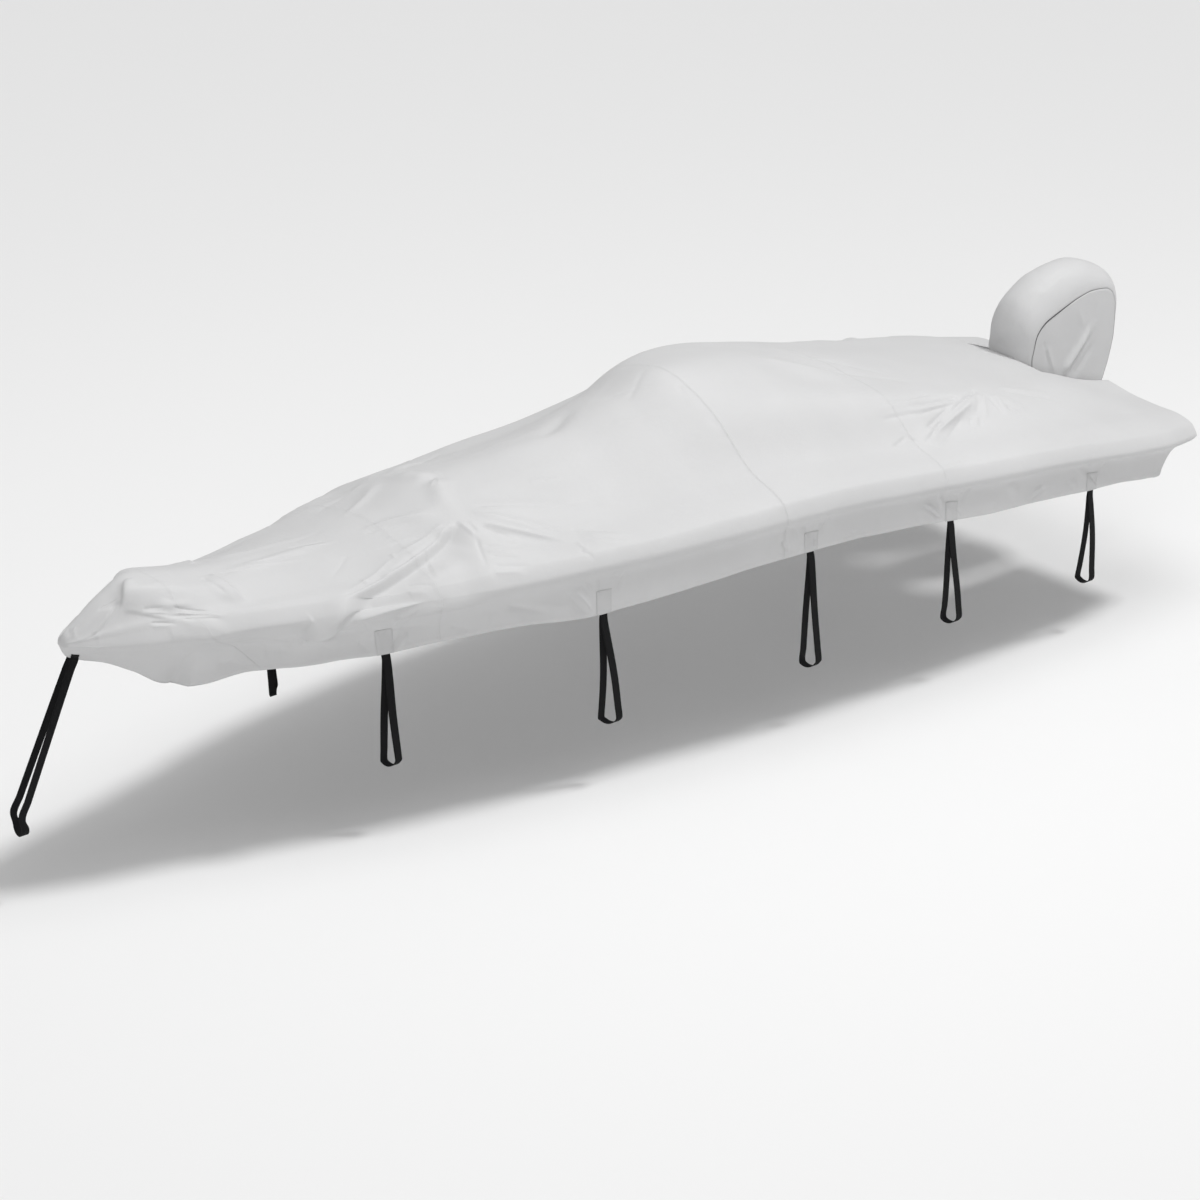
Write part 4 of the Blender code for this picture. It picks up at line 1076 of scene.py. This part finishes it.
# x at the hem, then x and z at the foot of the strands, z and radius of the bend
BOW_STRAP = (-3.271, -3.610, -1.215, -1.270, 0.038)
BOW_BEND_AFT = 0.012
ACROSS = np.linspace(-1, 1, 7)
AFT = np.array((1.0, 0.0, 0.0))


def unit(vectors):
    """The vectors at a length of 1."""
    return vectors / np.linalg.norm(vectors, axis=-1, keepdims=True)


def tape_row(middle, way):
    """Points across the tape, laid out along way from its middle on both sides."""
    return middle[..., None, :] + STRAP_HALF * way[..., None, :] * ACROSS[:, None]


def tape(name, rows, step=0.009):
    """A band of webbing through rows of points across it, evened out along its length."""
    rows = np.array(rows)
    lengths = np.concatenate([[0], np.cumsum(np.linalg.norm(np.diff(rows.mean(axis=1), axis=0), axis=1))])
    places = np.linspace(0, lengths[-1], int(lengths[-1] / step))
    grid = np.empty((len(places), *rows.shape[1:]))
    for j, k in np.ndindex(rows.shape[1:]):
        grid[:, j, k] = smooth_through(lengths, rows[:, j, k], places)
    around = np.broadcast_to(STRAP_HALF * ACROSS, grid.shape[:2])
    cut = np.stack([np.broadcast_to(places[:, None], grid.shape[:2]), around], -1)
    away = np.full(grid.shape[:2], FAR)
    piece = cloth_piece(name, grid, cut, away, away, strap_webbing, WEBBING)
    piece.modifiers["cloth"].offset = 0.0
    piece["length"] = float(lengths[-1])
    return piece


print("webbing", 2 * STRAP_HALF, "m wide,", WEBBING, "m thick")

# %% Tie-downs
def tie_down(name, strap, side):
    """The rows of one tie-down: each strand goes straight from the hem to its end, with a slight bow and
    twist, and the bend is half a circle. depth is how far its middle lies below the outer side of the
    skirt."""
    hem_x, outer_x, outer_y, bottom_z, inner_x = strap
    inner_y = outer_y - 2 * LOOP_RADIUS
    ends = np.array([(outer_x, side * outer_y, bottom_z), (inner_x, side * inner_y, bottom_z)])
    ring, v = np.meshgrid(ring_for_hem(hem_x + STRAP_HALF * ACROSS), side * np.linspace(PATCH_V, 1, 7))
    surface, out = skin(ring, v)
    strands = []
    for end, depth in zip(ends, (STRAP_DEPTH, STRAP_DEPTH + STRAND_GAP + WEBBING)):
        behind = surface - depth * out
        top = behind[-1].mean(axis=0)
        hem_way = unit(behind[-1, -1] - behind[-1, 0])
        share = np.linspace(0.05, 1, 9)[:, None]
        way = unit((1 - share) * hem_way + share * AFT)
        middle = top + share * (end - top)
        middle[:, 1] += side * 0.005 * np.sin(np.pi * share[:, 0])
        middle[:, 0] += 0.003 * np.sin(2 * np.pi * share[:, 0] + 9 * hem_x)
        strands.append(np.concatenate([behind, tape_row(middle, way)]))
    bend = []
    for angle in np.radians(np.arange(15, 180, 15)):
        centre = ends[0] + angle / np.pi * (ends[1] - ends[0])
        centre[1] = side * (outer_y - LOOP_RADIUS + LOOP_RADIUS * np.cos(angle))
        centre[2] = bottom_z - LOOP_RADIUS * np.sin(angle)
        bend.append(tape_row(centre, AFT))
    return tape(name, np.concatenate([strands[0], bend, strands[1][::-1]]))


def bow_tie(name):
    """The rows of the bow strap: sewn to the outer side of the nose, down to a foot, and round a bend."""
    hem_x, foot_x, foot_z, bend_z, spread = BOW_STRAP
    strands = []
    for side in (-1, 1):
        ring, v = np.meshgrid(ring_for_hem(hem_x + STRAP_HALF * ACROSS), side * np.linspace(0.92, 0.965, 6))
        surface, out = skin(ring, v)
        sewn = surface + WEBBING * out
        top = sewn[-1].mean(axis=0)
        foot = np.array((foot_x, side * spread, foot_z))
        share = np.linspace(0.08, 1, 9)[:, None]
        run = unit(foot - top)
        facing = np.array((0.0, side, 0.0))
        facing = unit(facing - run * (facing @ run))
        wide = side * np.cross(facing, run)
        wide *= np.sign(wide[0])
        sewn_way = unit(sewn[-1, -1] - sewn[-1, 0])
        settle = ramp(share / 0.3)
        way = unit((1 - settle) * sewn_way + settle * wide)
        strands.append(np.concatenate([sewn, tape_row(top + share * (foot - top), way)]))
    bend = []
    for angle in np.radians(np.arange(0, 181, 15)):
        centre = (foot_x + BOW_BEND_AFT, -spread * np.cos(angle), bend_z - spread * np.sin(angle))
        bend.append(tape_row(np.array(centre), AFT))
    return tape(name, np.concatenate([strands[0], bend, strands[1][::-1]]))


straps = {}
for number, strap in enumerate(STRAPS, 1):
    for side, word in SIDES:
        straps[f"strap_{word}_{number}"] = tie_down(f"strap_{word}_{number}", strap, side)
straps["strap_bow"] = bow_tie("strap_bow")
print("strap lengths", {name: round(piece["length"], 2) for name, piece in straps.items()})

# %% [markdown]
# ## The hood
#
# The hood is sewn like a cap: a crowned band between two side panels. Its seam is a line of measured points
# in the plane x, z. The band rises from one seam to the other in a flat arch, and each side panel is a fan
# from a point at its foot out to the seam, slightly bulged, with a few folds where it is too wide. A dark
# piping sits in the seam; its near-black colour and its swelling in the bend are partly painted seam shadow.

# %% Hood seam
# x, z, and how far the band rises above the seam there
HOOD_SEAM = np.array([
    (2.265, -0.699, 0.047), (2.258, -0.460, 0.051), (2.270, -0.400, 0.065), (2.288, -0.334, 0.093),
    (2.340, -0.274, 0.131), (2.461, -0.222, 0.163), (2.587, -0.180, 0.145), (2.671, -0.166, 0.131),
    (2.765, -0.175, 0.103), (2.816, -0.213, 0.084), (2.835, -0.288, 0.065), (2.830, -0.418, 0.047),
    (2.802, -0.549, 0.037), (2.746, -0.699, 0.028),
])
HOOD_HALF, HOOD_BULGE = 0.159, 0.020
HOOD_FOOT = (2.50, -0.699)
# x0, z0, x1, z1, half width, height, on each side panel
HOOD_FOLDS = (
    (2.455, -0.560, 2.680, -0.330, 0.022, 0.0130), (2.520, -0.600, 2.700, -0.430, 0.020, -0.007),
    (2.440, -0.580, 2.670, -0.330, 0.010, 0.0100), (2.480, -0.600, 2.690, -0.370, 0.012, -0.0110),
    (2.350, -0.380, 2.400, -0.560, 0.014, 0.0070), (2.330, -0.350, 2.370, -0.520, 0.010, -0.0060),
    (2.560, -0.225, 2.610, -0.360, 0.012, 0.0055), (2.700, -0.230, 2.680, -0.350, 0.011, -0.0055),
)
# metres along the band and y at one end, the same at the other, half width, height
BAND_FOLDS = (
    (0.10, -0.10, 0.26, 0.06, 0.022, 0.0030), (0.20, 0.12, 0.34, -0.02, 0.018, -0.0025),
    (0.55, -0.12, 0.42, 0.02, 0.026, 0.0030), (0.66, 0.13, 0.60, -0.05, 0.020, -0.0025),
    (0.36, 0.13, 0.40, 0.06, 0.012, -0.0020), (0.34, -0.14, 0.39, -0.07, 0.012, -0.0020),
    (0.50, -0.115, 0.76, -0.095, 0.010, 0.0045), (0.52, -0.095, 0.74, -0.075, 0.010, -0.0035),
    (0.56, -0.070, 0.73, -0.055, 0.010, 0.0030),
)
HOOD_ROWS, HOOD_COLUMNS, HOOD_RINGS, PIPING_SIDES = 150, 57, 44, 10
CRISP_BELOW = 0.015
# the stitch rows' distances from the seam
SIDE_ROW, BAND_ROW = 0.006, 0.006
# near black: a dark cord, and partly a painted shadow of the seam
PIPING_PAINTED_SHADOW_GREY = (0.06, 0.06, 0.062)

steps = np.arange(len(HOOD_SEAM), dtype=float)
every = np.linspace(0, steps[-1], HOOD_ROWS)
path = np.stack([smooth_through(steps, HOOD_SEAM[:, k], every) for k in range(3)], 1)
path_along = np.concatenate([[0], np.cumsum(np.hypot(*np.diff(path[:, :2], axis=0).T))])
level = np.linspace(0, path_along[-1], HOOD_ROWS)
path = np.stack([np.interp(level, path_along, path[:, k]) for k in range(3)], 1)
slope = np.gradient(path[:, :2], axis=0)
path_out = unit(np.stack([-slope[:, 1], slope[:, 0]], 1))
print("hood seam", round(float(level[-1]), 3), "m long")

# %% Hood pieces
def hood_fold(p0, p1, fold):
    """The lift of one row of a hood table. The narrow ones are crisp."""
    return fold_lift(p0, p1, fold[:2], fold[2:4], *fold[4:], 0.2, 0.4, fold[4] < CRISP_BELOW)


def hood_band():
    """Rows along the seam, columns across. At a share a of the half width the band rises by the crown's
    height times (1 - |a|^2.2)^0.6."""
    share = np.sin(np.linspace(-0.5, 0.5, HOOD_COLUMNS) * np.pi)
    rise = path[:, 2:] * np.clip(1 - np.abs(share[None]) ** 2.2, 0, 1) ** 0.6
    along = np.broadcast_to(level[:, None], rise.shape)
    side = np.broadcast_to(HOOD_HALF * share, rise.shape)
    inside = np.clip(1 - np.abs(share[None]) ** 4, 0, 1)
    for fold in BAND_FOLDS:
        rise = rise + inside * hood_fold(along, side, fold)
    rise = rise + inside * 0.0012 * np.sin(23 * along + 31 * side) * np.sin(17 * side + 5 * along + 1.0)
    from_foot = np.minimum(along, level[-1] - along)
    rise = rise + 0.0010 * hem_step(from_foot) * ramp(from_foot / 0.002)
    grid = np.stack([path[:, :1] + rise * path_out[:, :1], side, path[:, 1:2] + rise * path_out[:, 1:]], -1)
    around = arc_lengths(grid, 1)
    edge = np.minimum(around, around[:, -1:] - around)
    line, run = nearest_row((edge - BAND_ROW, along), (from_foot - HEM_ROW, around))
    return cloth_piece("hood_band", grid, np.stack([along, around], -1), line, run, cover_cloth)


def hood_side(side, word):
    """A fan of rings from the foot to the seam. The bulge is HOOD_BULGE (1 - r^2) at r of the way out."""
    rings = np.linspace(0, 1, HOOD_RINGS)[:, None]
    edge = path[:, :2] - 0.0006 * path_out
    edge[0, 1] = edge[-1, 1] = HOOD_FOOT[1]
    x = HOOD_FOOT[0] + rings * (edge[None, :, 0] - HOOD_FOOT[0])
    z = HOOD_FOOT[1] + rings * (edge[None, :, 1] - HOOD_FOOT[1])
    bulge = HOOD_BULGE * (1 - rings ** 2) + 0 * x
    moved, share = (0.0, 1.0) if side < 0 else (0.012, 0.7)
    for fold in HOOD_FOLDS:
        bulge = bulge + (1 - rings ** 6) * share * hood_fold(x + moved, z, fold)
    bulge = bulge + (1 - rings ** 6) * 0.0012 * np.sin(29 * x - 13 * z) * np.sin(19 * z + 7 * x)
    grid = np.stack([x, side * (HOOD_HALF + bulge), z], -1)
    if side > 0:
        grid = grid[:, ::-1]
    along, around = arc_lengths(grid, 0), arc_lengths(grid, 1)
    seam_row = (along[-1:] - along - SIDE_ROW, around)
    line, run = nearest_row(seam_row, (grid[..., 2] - HOOD_FOOT[1] - HEM_ROW, grid[..., 0]))
    cut = np.stack([grid[..., 0], grid[..., 2]], -1)
    return cloth_piece(f"hood_side_{word}", grid, cut, line, run, cover_cloth, merge=True)


def piping(side, word):
    """A round cord along the hood's seam: a ring of points at each place on the path, closed at both ends. It
    is thickest in the bend, where the seam gapes; its near-black colour there is partly painted seam shadow."""
    radius = 0.0010 + 0.0018 * bell((level[:, None, None] - 0.50) / 0.13)
    angle = np.linspace(0, 2 * np.pi, PIPING_SIDES, endpoint=False)[None, :, None]
    centre = np.stack([path[:, 0], np.full(HOOD_ROWS, side * (HOOD_HALF + 0.0008)), path[:, 1]], 1)
    out = np.stack([path_out[:, 0], np.zeros(HOOD_ROWS), path_out[:, 1]], 1)
    ring = radius * (np.cos(angle) * out[:, None] + np.sin(angle) * np.array((0, 1.0, 0)))
    points = (centre[:, None] + ring).reshape(-1, 3)
    start, turn = np.arange(HOOD_ROWS - 1)[:, None] * PIPING_SIDES, np.arange(PIPING_SIDES)
    a, b = start + turn, start + (turn + 1) % PIPING_SIDES
    faces = np.stack([a, b, b + PIPING_SIDES, a + PIPING_SIDES], -1).reshape(-1, 4).tolist()
    faces += [turn[::-1].tolist(), (turn + PIPING_SIDES * (HOOD_ROWS - 1)).tolist()]
    name = f"hood_piping_and_seam_shadow_{word}"
    return link(name, smooth_mesh(name, points, faces, dark_piping_painted_seam_shadow))


dark_piping_painted_seam_shadow = plain_material("dark_piping_painted_seam_shadow", PIPING_PAINTED_SHADOW_GREY, 0.7)
hood = {"hood_band": report(hood_band())}
pipings = {}
for side, word in SIDES:
    hood[f"hood_side_{word}"] = report(hood_side(side, word))
    pipings[word] = piping(side, word)

# %% [markdown]
# ## Handing the pieces to the frame
#
# Every piece belongs to the one body, and all but the pipings take the place of their solids. The panels and
# the hood print their areas.

# %% Frame
def flat_size(piece):
    """Half the surface area of a thin closed sheet, from its mesh with the modifiers on."""
    shown = piece.evaluated_get(bpy.context.evaluated_depsgraph_get()).to_mesh()
    area = np.empty(len(shown.polygons), np.float32)
    shown.polygons.foreach_get("area", area)
    return float(area.sum()) / 2


for name, piece in {**panels, **patches, **straps, **hood}.items():
    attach(piece, "root")
    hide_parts(name)
for piece in pipings.values():
    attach(piece, "root")
bpy.context.view_layer.update()
for name, piece in {**panels, **hood}.items():
    area = flat_size(piece)
    print(name, "area", round(area, 3))
for name, piece in patches.items():
    flat_size(piece) / (2 * PATCH_HALF)
